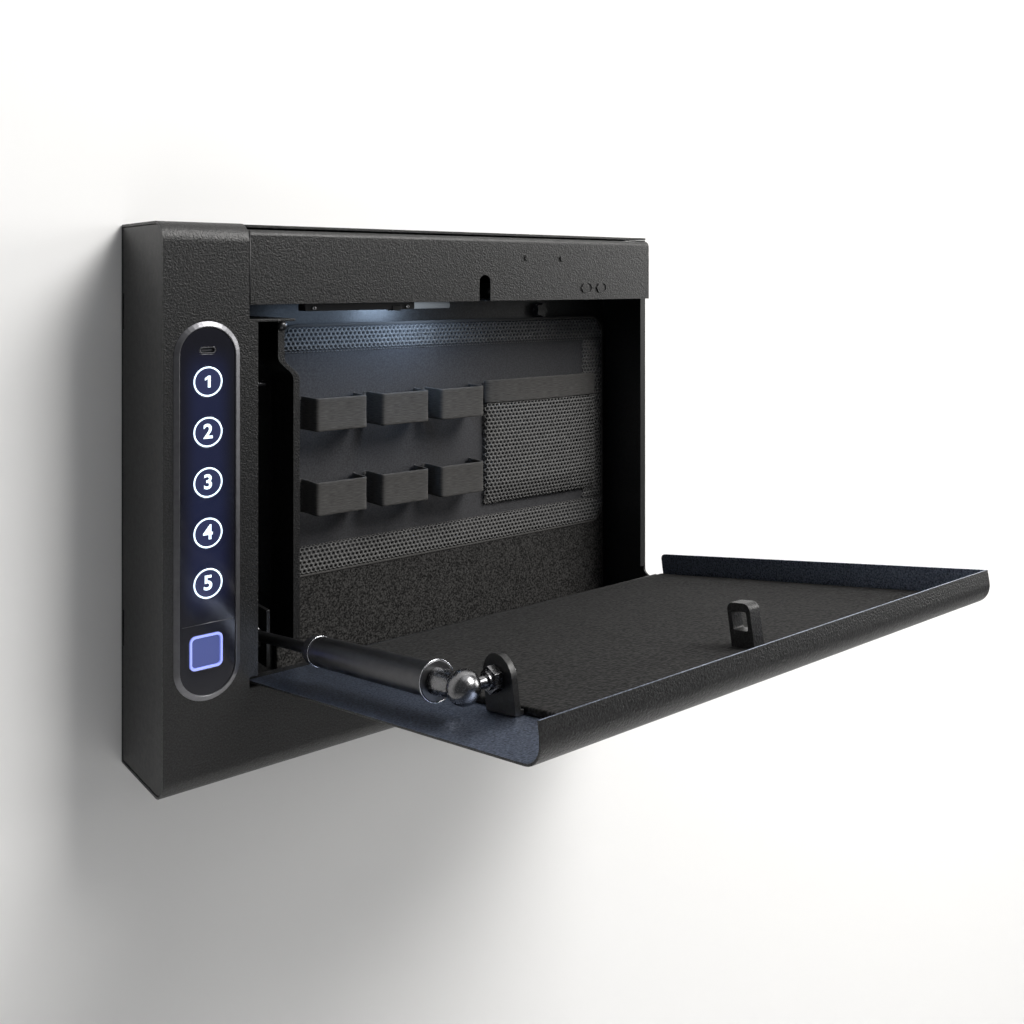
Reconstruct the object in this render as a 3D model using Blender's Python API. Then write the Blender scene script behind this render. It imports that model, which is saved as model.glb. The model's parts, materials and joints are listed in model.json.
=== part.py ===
"""A quick-access wall safe with a drop-down door, standing open.

Sizes are in millimetres and become metres when a mesh is made. The fixed pieces are
modelled from the safe's lower front left corner: X runs right along the wall, Y runs
back towards the wall and Z runs up. That corner is an empty, set so that the world's
origin is the centre of the back face, the face that lies on the wall.

The door's pieces are modelled with the door shut, from a point below the hinge axis on
the door's outer face: Y runs in from that face and Z runs up from the axis. An empty on
the axis then turns them all to the open angle.
"""

import math

import bmesh
import bpy
from mathutils import Matrix, Vector

MM = 0.001

# The body's outside.
WIDTH, HEIGHT, DEPTH = 405.0, 330.0, 70.0
SHEET = 1.6  # folded steel
BEND = 12.0  # outer radius of the column's top bend and of the bottom bend
GAP = 0.3  # between pieces that touch

# The fascia: a keypad column on the left and a strip under the door.
COLUMN_WIDTH = 52.0
STRIP_TOP = 55.7
LEDGE_DEPTH = 15.0
SHELL_FRONT = 20.0  # how far the top plate and right side sit behind the fascia

# The hinge and the door.
AXIS_DEPTH = 3.2
AXIS_HEIGHT = 59.7
OPEN_ANGLE = math.radians(80.5)
DOOR_SHEET = 1.2
DOOR_LEFT = COLUMN_WIDTH + 1.0
DOOR_FOOT = -1.7  # the skin's lower edge, from the axis
DOOR_TOP = 276.3  # the lip's outer face, from the axis
LIP_HEIGHT = 19.7
LIP_BEND = 12.5
FLANGE_START = 4.0
FOAM_THICK = 3.5
FOAM_LEFT = 97.5
BARREL_RADIUS = 1.6
PIN_RADIUS = 0.8
HINGE_LEFT, HINGE_RIGHT, KNUCKLES = 99.0, 400.0, 7

# The striker on the door, from the hinge axis and the skin's outer face.
STRIKER_THICK = 8.4
STRIKER_LOW, STRIKER_HIGH, STRIKER_REACH = 219.8, 235.4, 28.5

# The header over the opening.
HEADER_FRONT = 14.5
HEADER_LEFT, HEADER_RIGHT = 58.0, 403.3
HEADER_BOTTOM, HEADER_TOP = 281.0, 327.0
SLOT_CENTRE, SLOT_WIDTH, SLOT_TOP = 237.5, 9.6, 299.7  # the striker's slot

# The latch behind the header. Its bolt is shown drawn back, clear of the striker.
LATCH_Y, LATCH_Z, LATCH_RADIUS = 19.4, 288.0, 2.2
LATCH_TIP = SLOT_CENTRE + SLOT_WIDTH / 2 + 1.2
LATCH_LENGTH = 22.0
PLUNGER_Y, PLUNGER_RADIUS = 27.5, 2.6
PLUNGER_END = 56.0  # from the bolt's tip
SOLENOID_LEFT, SOLENOID_RIGHT = 283.0, 309.0

# The strut bay between the column and the storage space.
BAY_TOP = 271.0
STRIP_RIGHT = 58.5
PARTITION_FRONT = 29.0
PARTITION_UPPER, PARTITION_LOWER = 89.0, 99.7  # right faces above and below the step
STEP_BOTTOM, STEP_TOP = 233.0, 247.0

# The strut.
STRUT_X = 72.0
BALL_ABOVE_SKIN = 17.8
BALL_FROM_AXIS = 197.7
ANCHOR_Y, ANCHOR_Z = 50.0, 70.0
TUBE_RADIUS, ROD_RADIUS, BALL_RADIUS = 8.25, 3.3, 8.4
TUBE_NEAR, TUBE_FAR = 22.0, 140.5  # tube ends, measured from the ball
CAP_FAR = 151.0
FLARE_RADIUS = 10.0
ROD_IN_TUBE = 132.0  # the rod's inner end, from the rod end's pin
STUD_RADIUS, STUD_BALL_RADIUS = 3.0, 5.0
BRACKET_FROM_BALL, BRACKET_THICK, BRACKET_HALF = 19.5, 3.6, 11.5

# The slot in which the rod end's pin floats, from the anchor point.
FLOAT_FRONT, FLOAT_BACK, FLOAT_DOWN, FLOAT_UP = 11.7, 4.2, 8.4, 4.2

# The keypad.
PAD_X = 26.0
PAD_BOTTOM, PAD_TOP, PAD_WIDTH = 53.4, 272.4, 40.0
KEY_TOP_Z, KEY_PITCH, KEY_RADIUS, KEY_COUNT = 237.5, 29.1, 8.7, 5
PORT_Z = 255.6
SENSOR_X, SENSOR_Z, SENSOR_SIZE = 25.0, 82.0, 17.0

# The organiser on the back wall.
BACK_FACE = DEPTH - SHEET
WALL_BOLT_LEFT, WALL_BOLT_RIGHT = 70.0, 331.0
BOARD_LEFT, BOARD_RIGHT, BOARD_BOTTOM, BOARD_TOP = 100.5, 398.0, 94.0, 266.0
BOARD_FRONT, BOARD_BACK = 63.0, 65.8
LOOP_LEFTS = (118.2, 168.8, 218.1)
LOOP_WIDTH, LOOP_DEPTH, BAND_THICK = 38.6, 21.7, 1.4
LOOP_ROWS = (195.0, 139.0)
LOOP_HEIGHT = 22.7
POCKET_LEFT, POCKET_RIGHT, POCKET_BOTTOM, POCKET_TOP = 272.0, 387.0, 123.5, 219.5
POCKET_BAND_HEIGHT = 18.2

BLACK_STEEL = ("black_steel", (0.018, 0.018, 0.019), 0.55, 0.3)
DARK_PLASTIC = ("dark_plastic", (0.012, 0.012, 0.014), 0.45, 0.0)
GLOSS_PANEL = ("gloss_panel", (0.006, 0.006, 0.008), 0.12, 0.0)
KEY_GLOW = ("key_glow", (0.55, 0.75, 1.0), 0.3, 0.0)
FOAM = ("charcoal_foam", (0.045, 0.044, 0.042), 0.95, 0.0)
WEBBING = ("grey_webbing", (0.115, 0.105, 0.095), 0.85, 0.0)
MESH_CLOTH = ("mesh_cloth", (0.06, 0.06, 0.065), 0.8, 0.0)
BRIGHT_STEEL = ("bright_steel", (0.5, 0.5, 0.5), 0.25, 1.0)
DARK_CHROME = ("dark_chrome", (0.12, 0.12, 0.125), 0.25, 1.0)
CIRCUIT = ("circuit_board", (0.01, 0.06, 0.03), 0.5, 0.0)
LAMP = ("lamp_lens", (0.8, 0.9, 1.0), 0.3, 0.0)


def clear_scene():
    for obj in list(bpy.data.objects):
        bpy.data.objects.remove(obj)


def material(spec):
    name, colour, roughness, metallic = spec
    found = bpy.data.materials.get(name)
    if found:
        return found
    made = bpy.data.materials.new(name)
    made.use_nodes = True
    shader = made.node_tree.nodes["Principled BSDF"]
    shader.inputs["Base Color"].default_value = (*colour, 1.0)
    shader.inputs["Roughness"].default_value = roughness
    shader.inputs["Metallic"].default_value = metallic
    return made


def empty(name, parent=None, place=(0, 0, 0), turn=(0, 0, 0)):
    obj = bpy.data.objects.new(name, None)
    bpy.context.scene.collection.objects.link(obj)
    obj.parent = parent
    obj.location = Vector(place) * MM
    obj.rotation_euler = turn
    return obj


def solid(name, bm):
    """Turns a bmesh in millimetres into an object in metres, faces out."""
    bmesh.ops.recalc_face_normals(bm, faces=bm.faces)
    bmesh.ops.scale(bm, vec=(MM, MM, MM), verts=bm.verts)
    mesh = bpy.data.meshes.new(name)
    bm.to_mesh(mesh)
    bm.free()
    obj = bpy.data.objects.new(name, mesh)
    bpy.context.scene.collection.objects.link(obj)
    return obj


def prism(name, outline, axis, low, high):
    """An outline drawn across an axis, extruded along it.

    The outline's pairs are (Y, Z) along X, (X, Z) along Y and (X, Y) along Z.
    """
    place = {
        "X": lambda a, b, along: (along, a, b),
        "Y": lambda a, b, along: (a, along, b),
        "Z": lambda a, b, along: (a, b, along),
    }[axis]
    bm = bmesh.new()
    ends = [[bm.verts.new(place(a, b, along)) for a, b in outline] for along in (low, high)]
    bm.faces.new(ends[0])
    bm.faces.new(ends[1])
    for i in range(len(outline)):
        j = (i + 1) % len(outline)
        bm.faces.new((ends[0][i], ends[0][j], ends[1][j], ends[1][i]))
    return solid(name, bm)


def box(name, low, high):
    outline = ((low[0], low[1]), (high[0], low[1]), (high[0], high[1]), (low[0], high[1]))
    return prism(name, outline, "Z", low[2], high[2])


def arc(centre, radius, start, end, steps):
    """Points on an arc, with the angles in degrees from the outline's first axis."""
    found = []
    for i in range(steps + 1):
        angle = math.radians(start + (end - start) * i / steps)
        found.append((centre[0] + radius * math.cos(angle), centre[1] + radius * math.sin(angle)))
    return found


def rounded(left, bottom, right, top, radius, steps=6):
    """The outline of a rectangle with round corners."""
    points = []
    for centre, start in (
        ((right - radius, bottom + radius), -90),
        ((right - radius, top - radius), 0),
        ((left + radius, top - radius), 90),
        ((left + radius, bottom + radius), 180),
    ):
        points += arc(centre, radius, start, start + 90, steps)
    return points


def circle(centre, radius, steps=24):
    return arc(centre, radius, 0, 360, steps)[:-1]


def turned(name, profile, axis, centre, steps=24):
    """A profile of (distance along the axis, radius), turned round an axis through a centre.

    The first and last points have no radius, so the shape is closed.
    """
    turn = {"X": Matrix.Rotation(math.pi / 2, 3, "Y"), "Y": Matrix.Rotation(-math.pi / 2, 3, "X")}.get(
        axis, Matrix.Identity(3)
    )
    bm = bmesh.new()
    rings = []
    for along, radius in profile:
        if radius == 0:
            rings.append([bm.verts.new((0, 0, along))])
            continue
        ring = [bm.verts.new((a, b, along)) for a, b in circle((0, 0), radius, steps)]
        rings.append(ring)
    for first, second in zip(rings, rings[1:]):
        for i in range(steps):
            j = (i + 1) % steps
            corners = [first[i % len(first)], first[j % len(first)]]
            corners += [second[j % len(second)], second[i % len(second)]]
            bm.faces.new(dict.fromkeys(corners))
    bmesh.ops.rotate(bm, verts=bm.verts, cent=(0, 0, 0), matrix=turn)
    bmesh.ops.translate(bm, verts=bm.verts, vec=centre)
    return smooth(solid(name, bm))


def rod(name, axis, centre, radius, low, high, steps=24):
    """A plain round bar along an axis, from low to high past its centre."""
    profile = ((low, 0), (low, radius), (high, radius), (high, 0))
    return turned(name, profile, axis, centre, steps)


def smooth(obj, angle=35):
    obj.data.shade_smooth()
    obj.data.set_sharp_from_angle(angle=math.radians(angle))
    return obj


def combine(target, operation, others):
    """Cuts the others from the target, or joins them to it, and removes them."""
    for other in others:
        modifier = target.modifiers.new(operation, "BOOLEAN")
        modifier.operation = operation
        modifier.object = other
        bpy.context.view_layer.update()
        shape = target.evaluated_get(bpy.context.evaluated_depsgraph_get())
        mesh = bpy.data.meshes.new_from_object(shape)
        target.modifiers.clear()
        target.data = mesh
        bpy.data.objects.remove(other)
    return target


def cut(target, *others):
    return combine(target, "DIFFERENCE", others)


def join(target, *others):
    return combine(target, "UNION", others)


def finish(obj, parent, spec):
    obj.parent = parent
    obj.data.materials.clear()
    obj.data.materials.append(material(spec))
    return obj


# ---------------------------------------------------------------- body


def wrap_shell(corner):
    """One folded sheet: top, keypad column, strip and bottom."""
    inner = BEND - SHEET
    back = BACK_FACE - GAP
    column = [(back, HEIGHT)]
    column += arc((BEND, HEIGHT - BEND), BEND, 90, 180, 8)
    column += arc((BEND, BEND), BEND, 180, 270, 8)
    column += [(back, 0), (back, SHEET)]
    column += arc((BEND, BEND), inner, 270, 180, 8)
    column += arc((BEND, HEIGHT - BEND), inner, 180, 90, 8)
    column += [(back, HEIGHT - SHEET)]
    shell = prism("wrap_shell", column, "X", 0, COLUMN_WIDTH)
    edge = 2.2
    strip = [(LEDGE_DEPTH, STRIP_TOP)]
    strip += arc((edge, STRIP_TOP - edge), edge, 90, 180, 4)
    strip += arc((BEND, BEND), BEND, 180, 270, 8)
    strip += [(back, 0), (back, SHEET)]
    strip += arc((BEND, BEND), inner, 270, 180, 8)
    strip += arc((edge, STRIP_TOP - edge), edge - SHEET, 180, 90, 4)
    strip += [(LEDGE_DEPTH, STRIP_TOP - SHEET)]
    overlap = 4.0
    lower = prism("strip", strip, "X", COLUMN_WIDTH - overlap, WIDTH)
    top = box("top", (COLUMN_WIDTH - overlap, SHELL_FRONT, HEIGHT - SHEET), (WIDTH, back, HEIGHT))
    join(shell, lower, top)
    pad_hole = rounded(
        PAD_X - PAD_WIDTH / 2 + 1.8,
        PAD_BOTTOM + 1.8,
        PAD_X + PAD_WIDTH / 2 - 1.8,
        PAD_TOP - 1.8,
        PAD_WIDTH / 2 - 1.8,
        8,
    )
    cut(shell, prism("pad_hole", pad_hole, "Y", -5, 10))
    return finish(smooth(shell), corner, BLACK_STEEL)


def left_side_panel(corner):
    """A flat side set into the wrapped sheet, with two shallow notches in its back edge."""
    inset = SHEET + GAP
    radius = BEND - inset
    outline = [(BACK_FACE - GAP, HEIGHT - inset)]
    outline += arc((BEND, HEIGHT - BEND), radius, 90, 180, 6)
    outline += arc((BEND, BEND), radius, 180, 270, 6)
    outline += [(BACK_FACE - GAP, inset)]
    panel = prism("left_side_panel", outline, "X", GAP, GAP + SHEET)
    for low, high in ((72, 94), (266, 288)):
        cut(panel, box("notch", (-1, BACK_FACE - 2, low), (3, BACK_FACE + 2, high)))
    return finish(panel, corner, BLACK_STEEL)


def right_side_panel(corner):
    """A side that steps forward to the strip's front, with a folded front edge above it."""
    inset = SHEET + GAP
    radius = BEND - inset
    fillet = 5.0
    outline = [(BACK_FACE - GAP, HEIGHT - inset), (SHELL_FRONT, HEIGHT - inset)]
    outline += arc((SHELL_FRONT - fillet, STRIP_TOP + fillet + 1.5), fillet, 0, -90, 5)
    outline += [(LEDGE_DEPTH + GAP, STRIP_TOP + 1.5), (LEDGE_DEPTH + GAP, STRIP_TOP - inset)]
    outline += [(inset, STRIP_TOP - inset)]
    outline += arc((BEND, BEND), radius, 180, 270, 6)
    outline += [(BACK_FACE - GAP, inset)]
    outer = WIDTH - GAP
    panel = prism("right_side_panel", outline, "X", outer - SHEET, outer)
    low = (outer - 5.5, SHELL_FRONT, STRIP_TOP + 8)
    high = (outer - SHEET / 2, SHELL_FRONT + SHEET, HEIGHT - 2.4)
    fold = box("fold", low, high)
    return finish(join(panel, fold), corner, BLACK_STEEL)


def back_plate(corner):
    inset = 2 * SHEET
    plate = box("back_plate", (0, BACK_FACE, 0), (WIDTH, DEPTH, HEIGHT))
    for x, z in wall_bolt_places():
        cut(plate, prism("hole", circle((x, z), 4.5, 16), "Y", DEPTH - inset, DEPTH + inset))
    return finish(plate, corner, BLACK_STEEL)


def wall_bolt_places():
    """The (X, Z) of the four bolts. The left two are in the strut bay, and the last one is
    above the organiser."""
    low = 30.0
    return [
        (WALL_BOLT_LEFT, low),
        (WALL_BOLT_RIGHT, low),
        (WALL_BOLT_LEFT, 255.0),
        (WALL_BOLT_RIGHT, 272.0),
    ]


def wall_bolts(corner):
    """Wall bolts with lobed heads."""
    for index, (x, z) in enumerate(wall_bolt_places()):
        lobes = []
        for i in range(24):
            reach = 5.2 + 0.9 * math.cos(math.radians(5 * 15 * i))
            angle = math.radians(15 * i)
            lobes.append((x + reach * math.cos(angle), z + reach * math.sin(angle)))
        name = f"wall_bolt_{index + 1}"
        head = prism(name, lobes, "Y", BACK_FACE - 6.3, BACK_FACE - GAP)
        shank = rod("shank", "Y", (x, 0, z), 4.0, BACK_FACE - 1, DEPTH - 0.2, 16)
        finish(join(head, shank), corner, DARK_PLASTIC)


def header_channel(corner):
    """The steel channel above the opening, with the striker's slot."""
    wall = 1.5
    bend = 4.0
    front = HEADER_FRONT
    profile = [(front, HEADER_BOTTOM)]
    profile += arc((front + bend, HEADER_TOP - bend), bend, 180, 90, 5)
    profile += [(60, HEADER_TOP), (60, HEADER_TOP - wall)]
    profile += arc((front + bend, HEADER_TOP - bend), bend - wall, 90, 180, 5)
    profile += [(front + wall, HEADER_BOTTOM + wall), (38, HEADER_BOTTOM + wall), (38, HEADER_BOTTOM)]
    channel = prism("header_channel", profile, "X", HEADER_LEFT, HEADER_RIGHT)
    relief = box("relief", (HEADER_RIGHT - 6.5, SHELL_FRONT - 1.5, 270), (HEADER_RIGHT + 5, 80, 340))
    half = SLOT_WIDTH / 2
    slot = [(SLOT_CENTRE - half, HEADER_BOTTOM - 5), (SLOT_CENTRE + half, HEADER_BOTTOM - 5)]
    slot += arc((SLOT_CENTRE, SLOT_TOP - half), half, 0, 180, 10)
    cut(channel, relief, prism("slot", slot, "Y", 5, 30))
    for x, z, radius in ((276.0, 312.4, 1.2), (310.3, 312.7, 1.2)):
        cut(channel, prism("hole", circle((x, z), radius, 12), "Y", 5, 18))
    for x in (336.8, 352.0):
        cut(channel, prism("dimple", circle((x, 289.9), 3.6, 20), "Y", 5, front + 0.6))
    return finish(smooth(channel), corner, BLACK_STEEL)


def bay_front_strip(corner):
    """The rebate that the door's left edge closes on, and the shelf on top of the strut bay."""
    thick = 1.5
    front = SHEET + GAP
    top = BAY_TOP + thick
    strip = box("bay_front_strip", (COLUMN_WIDTH - 5, front, AXIS_HEIGHT), (STRIP_RIGHT, front + thick, top))
    shelf = box("shelf", (COLUMN_WIDTH, front, BAY_TOP), (PARTITION_UPPER - 6, BACK_FACE - GAP, top))
    return finish(join(strip, shelf), corner, BLACK_STEEL)


def partition_band(inset):
    """The partition's face line, stepping right on the way down, moved left by an inset."""
    upper, lower = PARTITION_UPPER - inset, PARTITION_LOWER - inset
    middle = (upper + lower) / 2
    bend = (lower - upper) / 2
    height = STEP_TOP - STEP_BOTTOM
    points = [(upper, BAY_TOP - GAP)]
    for i in range(9):
        share = i / 8
        across = middle - bend * math.cos(math.pi * share)
        points.append((across, STEP_TOP - height * share))
    points.append((lower, STRIP_TOP + 4))
    return points


def bay_partition(corner):
    """The folded wall between the strut bay and the storage space."""
    wall, fold, thick = 1.5, 4.6, 1.6
    band = partition_band(0) + partition_band(wall)[::-1]
    partition = prism("bay_partition", band, "Y", PARTITION_FRONT + thick / 2, BACK_FACE - GAP)
    edge = partition_band(0) + partition_band(fold)[::-1]
    join(partition, prism("fold", edge, "Y", PARTITION_FRONT, PARTITION_FRONT + thick))
    return finish(smooth(partition), corner, BLACK_STEEL)


def column_divider(corner):
    """The wall that keeps the strut clear of the electronics, with a hole for the wires."""
    left = COLUMN_WIDTH + 0.6
    divider = box("column_divider", (left, 5, STRIP_TOP + 3), (left + SHEET, BACK_FACE - GAP, BAY_TOP - 1.5))
    cut(divider, prism("wires", circle((40, 240), 4, 16), "X", left - 5, left + 5))
    return finish(divider, corner, BLACK_STEEL)


def bay_cross_pin(corner):
    """A pin across the bay, above the strut's path."""
    left = COLUMN_WIDTH + 0.6 + SHEET + GAP
    end = PARTITION_LOWER - 14.8
    profile = ((left, 0), (left, 2.2), (end - 1.2, 2.2), (end, 1.4), (end, 0))
    pin = turned("bay_cross_pin", profile, "X", (0, 48, 229), 16)
    return finish(pin, corner, BRIGHT_STEEL)


def bay_screw(corner):
    """The domed screw at the top of the partition's fold."""
    front = PARTITION_FRONT - GAP
    profile = ((front - 2.2, 0), (front - 2.0, 1.6), (front - 1.0, 2.9), (front, 3.3), (front, 0))
    screw = turned("bay_screw", profile, "Y", (PARTITION_UPPER - 1.5, 0, BAY_TOP - 3.8), 16)
    return finish(screw, corner, BLACK_STEEL)


# ---------------------------------------------------------------- soft lining


def back_foam(corner):
    bottom = SHEET + 2.4
    right = BOARD_RIGHT + 1.0
    sheet = box("back_foam", (BOARD_LEFT, BOARD_BACK + GAP, bottom), (right, BACK_FACE - GAP, BOARD_TOP - 2))
    step = box("step", (BOARD_LEFT, BOARD_FRONT + 0.8, bottom), (right, BOARD_BACK + 1, BOARD_BOTTOM - GAP))
    join(sheet, step)
    for place in wall_bolt_places():
        if place[0] == WALL_BOLT_RIGHT:
            cut(sheet, prism("bolt", circle(place, 8.0, 16), "Y", 50, 80))
    return finish(sheet, corner, FOAM)


def organiser_panel(corner):
    outline = rounded(BOARD_LEFT, BOARD_BOTTOM, BOARD_RIGHT, BOARD_TOP, 12.0)
    panel = prism("organiser_panel", outline, "Y", BOARD_FRONT, BOARD_BACK)
    cut(panel, prism("bolt", circle(wall_bolt_places()[3], 8.0, 16), "Y", 50, 80))
    return finish(panel, corner, MESH_CLOTH)


def elastic_loops(corner):
    """Six bands that stand out from the organiser as box-shaped loops."""
    back = BOARD_FRONT - GAP
    front = back - LOOP_DEPTH
    tab = 3.0
    for column, left in enumerate(LOOP_LEFTS):
        for row, bottom in enumerate(LOOP_ROWS):
            right = left + LOOP_WIDTH
            outer = [(left - tab, back), (left - tab, back - BAND_THICK), (left, back - BAND_THICK)]
            outer += arc((left + 3, front + 3), 3, 180, 270, 4)
            outer += arc((right - 3, front + 3), 3, 270, 360, 4)
            outer += [(right, back - BAND_THICK), (right + tab, back - BAND_THICK), (right + tab, back)]
            inner = [(right - BAND_THICK, back)]
            inner += arc((right - 3, front + 3), 3 - BAND_THICK, 360, 270, 4)
            inner += arc((left + 3, front + 3), 3 - BAND_THICK, 270, 180, 4)
            inner += [(left + BAND_THICK, back)]
            name = f"elastic_loop_{column + 1}_{'upper' if row == 0 else 'lower'}"
            loop = prism(name, outer + inner, "Z", bottom, bottom + LOOP_HEIGHT)
            finish(smooth(loop), corner, WEBBING)


def document_pocket(corner):
    """A mesh pocket, sewn down on three sides, and the elastic along its mouth."""
    back = BOARD_FRONT - GAP
    front = back - 6.0
    mesh_thick = 1.0
    band_bottom = POCKET_TOP - POCKET_BAND_HEIGHT
    left, right, bottom = POCKET_LEFT, POCKET_RIGHT, POCKET_BOTTOM
    pocket = box("mesh_pocket", (left, front, bottom), (right, back, band_bottom - GAP))
    hollow = box(
        "hollow",
        (left + 2.5, front + mesh_thick, bottom + 2.5),
        (right - 2.5, back + 5, band_bottom + 20),
    )
    finish(cut(pocket, hollow), corner, MESH_CLOTH)
    band = box("pocket_band", (left, front - 0.4, band_bottom), (right, back, POCKET_TOP))
    gap = box(
        "gap",
        (left + 2.5, front + mesh_thick, band_bottom - 20),
        (right - 2.5, back + 5, POCKET_TOP + 20),
    )
    finish(cut(band, gap), corner, WEBBING)


# ---------------------------------------------------------------- keypad and electronics


def keypad_outline(inset, steps=10):
    half = PAD_WIDTH / 2 - inset
    return rounded(PAD_X - half, PAD_BOTTOM + inset, PAD_X + half, PAD_TOP - inset, half, steps)


def key_heights():
    return [KEY_TOP_Z - KEY_PITCH * i for i in range(KEY_COUNT)]


def keypad_bezel(corner):
    bezel = prism("keypad_bezel", keypad_outline(0), "Y", -1.6, -GAP)
    join(bezel, prism("skirt", keypad_outline(2.1), "Y", -1.0, 5.0))
    cut(bezel, prism("window", keypad_outline(3.2), "Y", -5, 10))
    return finish(smooth(bezel), corner, DARK_PLASTIC)


def keypad_panel(corner):
    panel = prism("keypad_panel", keypad_outline(3.5), "Y", -1.0, 1.0)
    for z in key_heights():
        cut(panel, prism("key_hole", circle((PAD_X, z), KEY_RADIUS + 0.35, 24), "Y", -5, 5))
    half = SENSOR_SIZE / 2 + 1.6
    window = rounded(SENSOR_X - half, SENSOR_Z - half, SENSOR_X + half, SENSOR_Z + half, 3.5, 4)
    port = rounded(PAD_X - 5.3, PORT_Z - 2.3, PAD_X + 5.3, PORT_Z + 2.3, 2.3, 5)
    cut(panel, prism("window", window, "Y", -5, 5), prism("port", port, "Y", -5, 5))
    return finish(smooth(panel), corner, GLOSS_PANEL)


def keypad_keys(corner):
    """Five round keys that travel back into the panel, each on its own push axis."""
    for index, z in enumerate(key_heights()):
        holder = empty(f"key_{index + 1}_axis", corner, (PAD_X, 0, z))
        profile = ((-1.15, 0), (-1.15, KEY_RADIUS - 0.4), (-0.8, KEY_RADIUS), (2.4, KEY_RADIUS), (2.4, 0))
        finish(turned(f"key_{index + 1}", profile, "Y", (0, 0, 0), 24), holder, KEY_GLOW)


def charge_port(corner):
    outline = rounded(PAD_X - 5.0, PORT_Z - 2.0, PAD_X + 5.0, PORT_Z + 2.0, 2.0, 5)
    port = prism("charge_port", outline, "Y", -0.9, 5.5)
    inner = rounded(PAD_X - 4.2, PORT_Z - 1.3, PAD_X + 4.2, PORT_Z + 1.3, 1.3, 5)
    cut(port, prism("mouth", inner, "Y", -5, 4.5))
    tongue = box("tongue", (PAD_X - 3.2, 0.2, PORT_Z - 0.35), (PAD_X + 3.2, 5.0, PORT_Z + 0.35))
    return finish(smooth(join(port, tongue)), corner, BRIGHT_STEEL)


def fingerprint_reader(corner):
    half = SENSOR_SIZE / 2
    outer = rounded(
        SENSOR_X - half - 1.3, SENSOR_Z - half - 1.3, SENSOR_X + half + 1.3, SENSOR_Z + half + 1.3, 3.2, 5
    )
    inner = rounded(SENSOR_X - half, SENSOR_Z - half, SENSOR_X + half, SENSOR_Z + half, 2.2, 5)
    frame = prism("fingerprint_frame", outer, "Y", -1.4, 3.5)
    cut(frame, prism("window", inner, "Y", -5, 10))
    finish(smooth(frame), corner, BRIGHT_STEEL)
    half -= GAP
    pad = rounded(SENSOR_X - half, SENSOR_Z - half, SENSOR_X + half, SENSOR_Z + half, 2.0, 5)
    finish(smooth(prism("fingerprint_sensor", pad, "Y", -0.7, 4.5)), corner, GLOSS_PANEL)


def boards_and_battery(corner):
    keypad_board = box("keypad_board", (9, 6.0, 66), (43, 7.6, 266))
    finish(keypad_board, corner, CIRCUIT)
    control = box("control_board", (8, 20, 66), (44, 21.6, 150))
    relay = box("relay", (12, 21, 84), (28, 32, 104))
    socket = box("socket", (30, 21, 120), (41, 29, 132))
    finish(join(control, relay, socket), corner, CIRCUIT)
    low, high = 165.0, 245.0
    left, right = 12.0, 42.0
    front, back = 30.0, 52.0
    pack = prism("battery_pack", rounded(left, front, right, back, 6.0, 4), "Z", low, high)
    finish(smooth(pack), corner, DARK_PLASTIC)
    clear = 0.4
    outer = box("battery_bracket", (left - 2, front + 4, low - 2), (right + 2, BACK_FACE - GAP, low + 60))
    space = box("space", (left - clear, 10, low - clear), (right + clear, back + clear, high))
    window = box("window", (left + 4, back - 5, low + 6), (right - 4, BACK_FACE - 2, low + 70))
    finish(cut(outer, space, window), corner, BLACK_STEEL)


def led_bar(corner):
    """The lamp housing under the header, and its lens."""
    top = HEADER_BOTTOM - GAP
    bar = box("led_bar", (101, 24, top - 4.6), (184, 34, top))
    bump = box("bump", (166, 23.4, top - 5.4), (173, 30, top - 2))
    finish(join(bar, bump), corner, DARK_PLASTIC)
    lens = prism("led_lens", rounded(24.6, top - 4.4, 33.4, top - 0.2, 1.5, 4), "X", 184 + GAP, 214)
    finish(smooth(lens), corner, LAMP)


# ---------------------------------------------------------------- latch


def latch(corner):
    """A bolt that a solenoid draws out of the striker's window, shown drawn back."""
    plate = box("latch_bracket", (226, 36.2, HEADER_BOTTOM + 1.8), (312, 37.7, HEADER_TOP - 1.8))
    ear = box("ear", (246, 16.4, HEADER_BOTTOM + 1.8), (249, 37, LATCH_Z + 6))
    join(plate, ear)
    cut(plate, rod("guide", "X", (0, LATCH_Y, LATCH_Z), LATCH_RADIUS + 0.25, 240, 255, 16))
    finish(smooth(plate), corner, BLACK_STEEL)
    slide = empty("latch_slide_axis", corner, (LATCH_TIP, LATCH_Y, LATCH_Z))
    tip = ((0, 0), (0, LATCH_RADIUS - 0.8), (0.8, LATCH_RADIUS))
    tip += ((LATCH_LENGTH, LATCH_RADIUS), (LATCH_LENGTH, 0))
    bolt = turned("latch_bolt", tip, "X", (0, 0, 0), 20)
    back = PLUNGER_Y - LATCH_Y
    arm = box("arm", (LATCH_LENGTH - 4, -2.0, -3.4), (LATCH_LENGTH, back + 3.4, 3.4))
    finish(smooth(join(bolt, arm)), slide, BRIGHT_STEEL)
    start = LATCH_LENGTH + GAP
    head = ((start, 0), (start, 4.2), (start + 1.5, 4.2), (start + 1.5, PLUNGER_RADIUS))
    head += ((PLUNGER_END, PLUNGER_RADIUS), (PLUNGER_END, 0))
    plunger = turned("solenoid_plunger", head, "X", (0, back, 0), 20)
    finish(plunger, slide, BRIGHT_STEEL)
    low = (SOLENOID_LEFT, PLUNGER_Y - 6.5, LATCH_Z - 5.2)
    high = (SOLENOID_RIGHT, PLUNGER_Y + 6.5, LATCH_Z + 6.2)
    body = box("solenoid_body", low, high)
    centre = (0, PLUNGER_Y, LATCH_Z)
    cut(body, rod("bore", "X", centre, PLUNGER_RADIUS + 0.3, SOLENOID_LEFT - 5, SOLENOID_RIGHT + 5, 20))
    finish(body, corner, DARK_PLASTIC)
    latch_spring(corner)


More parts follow.
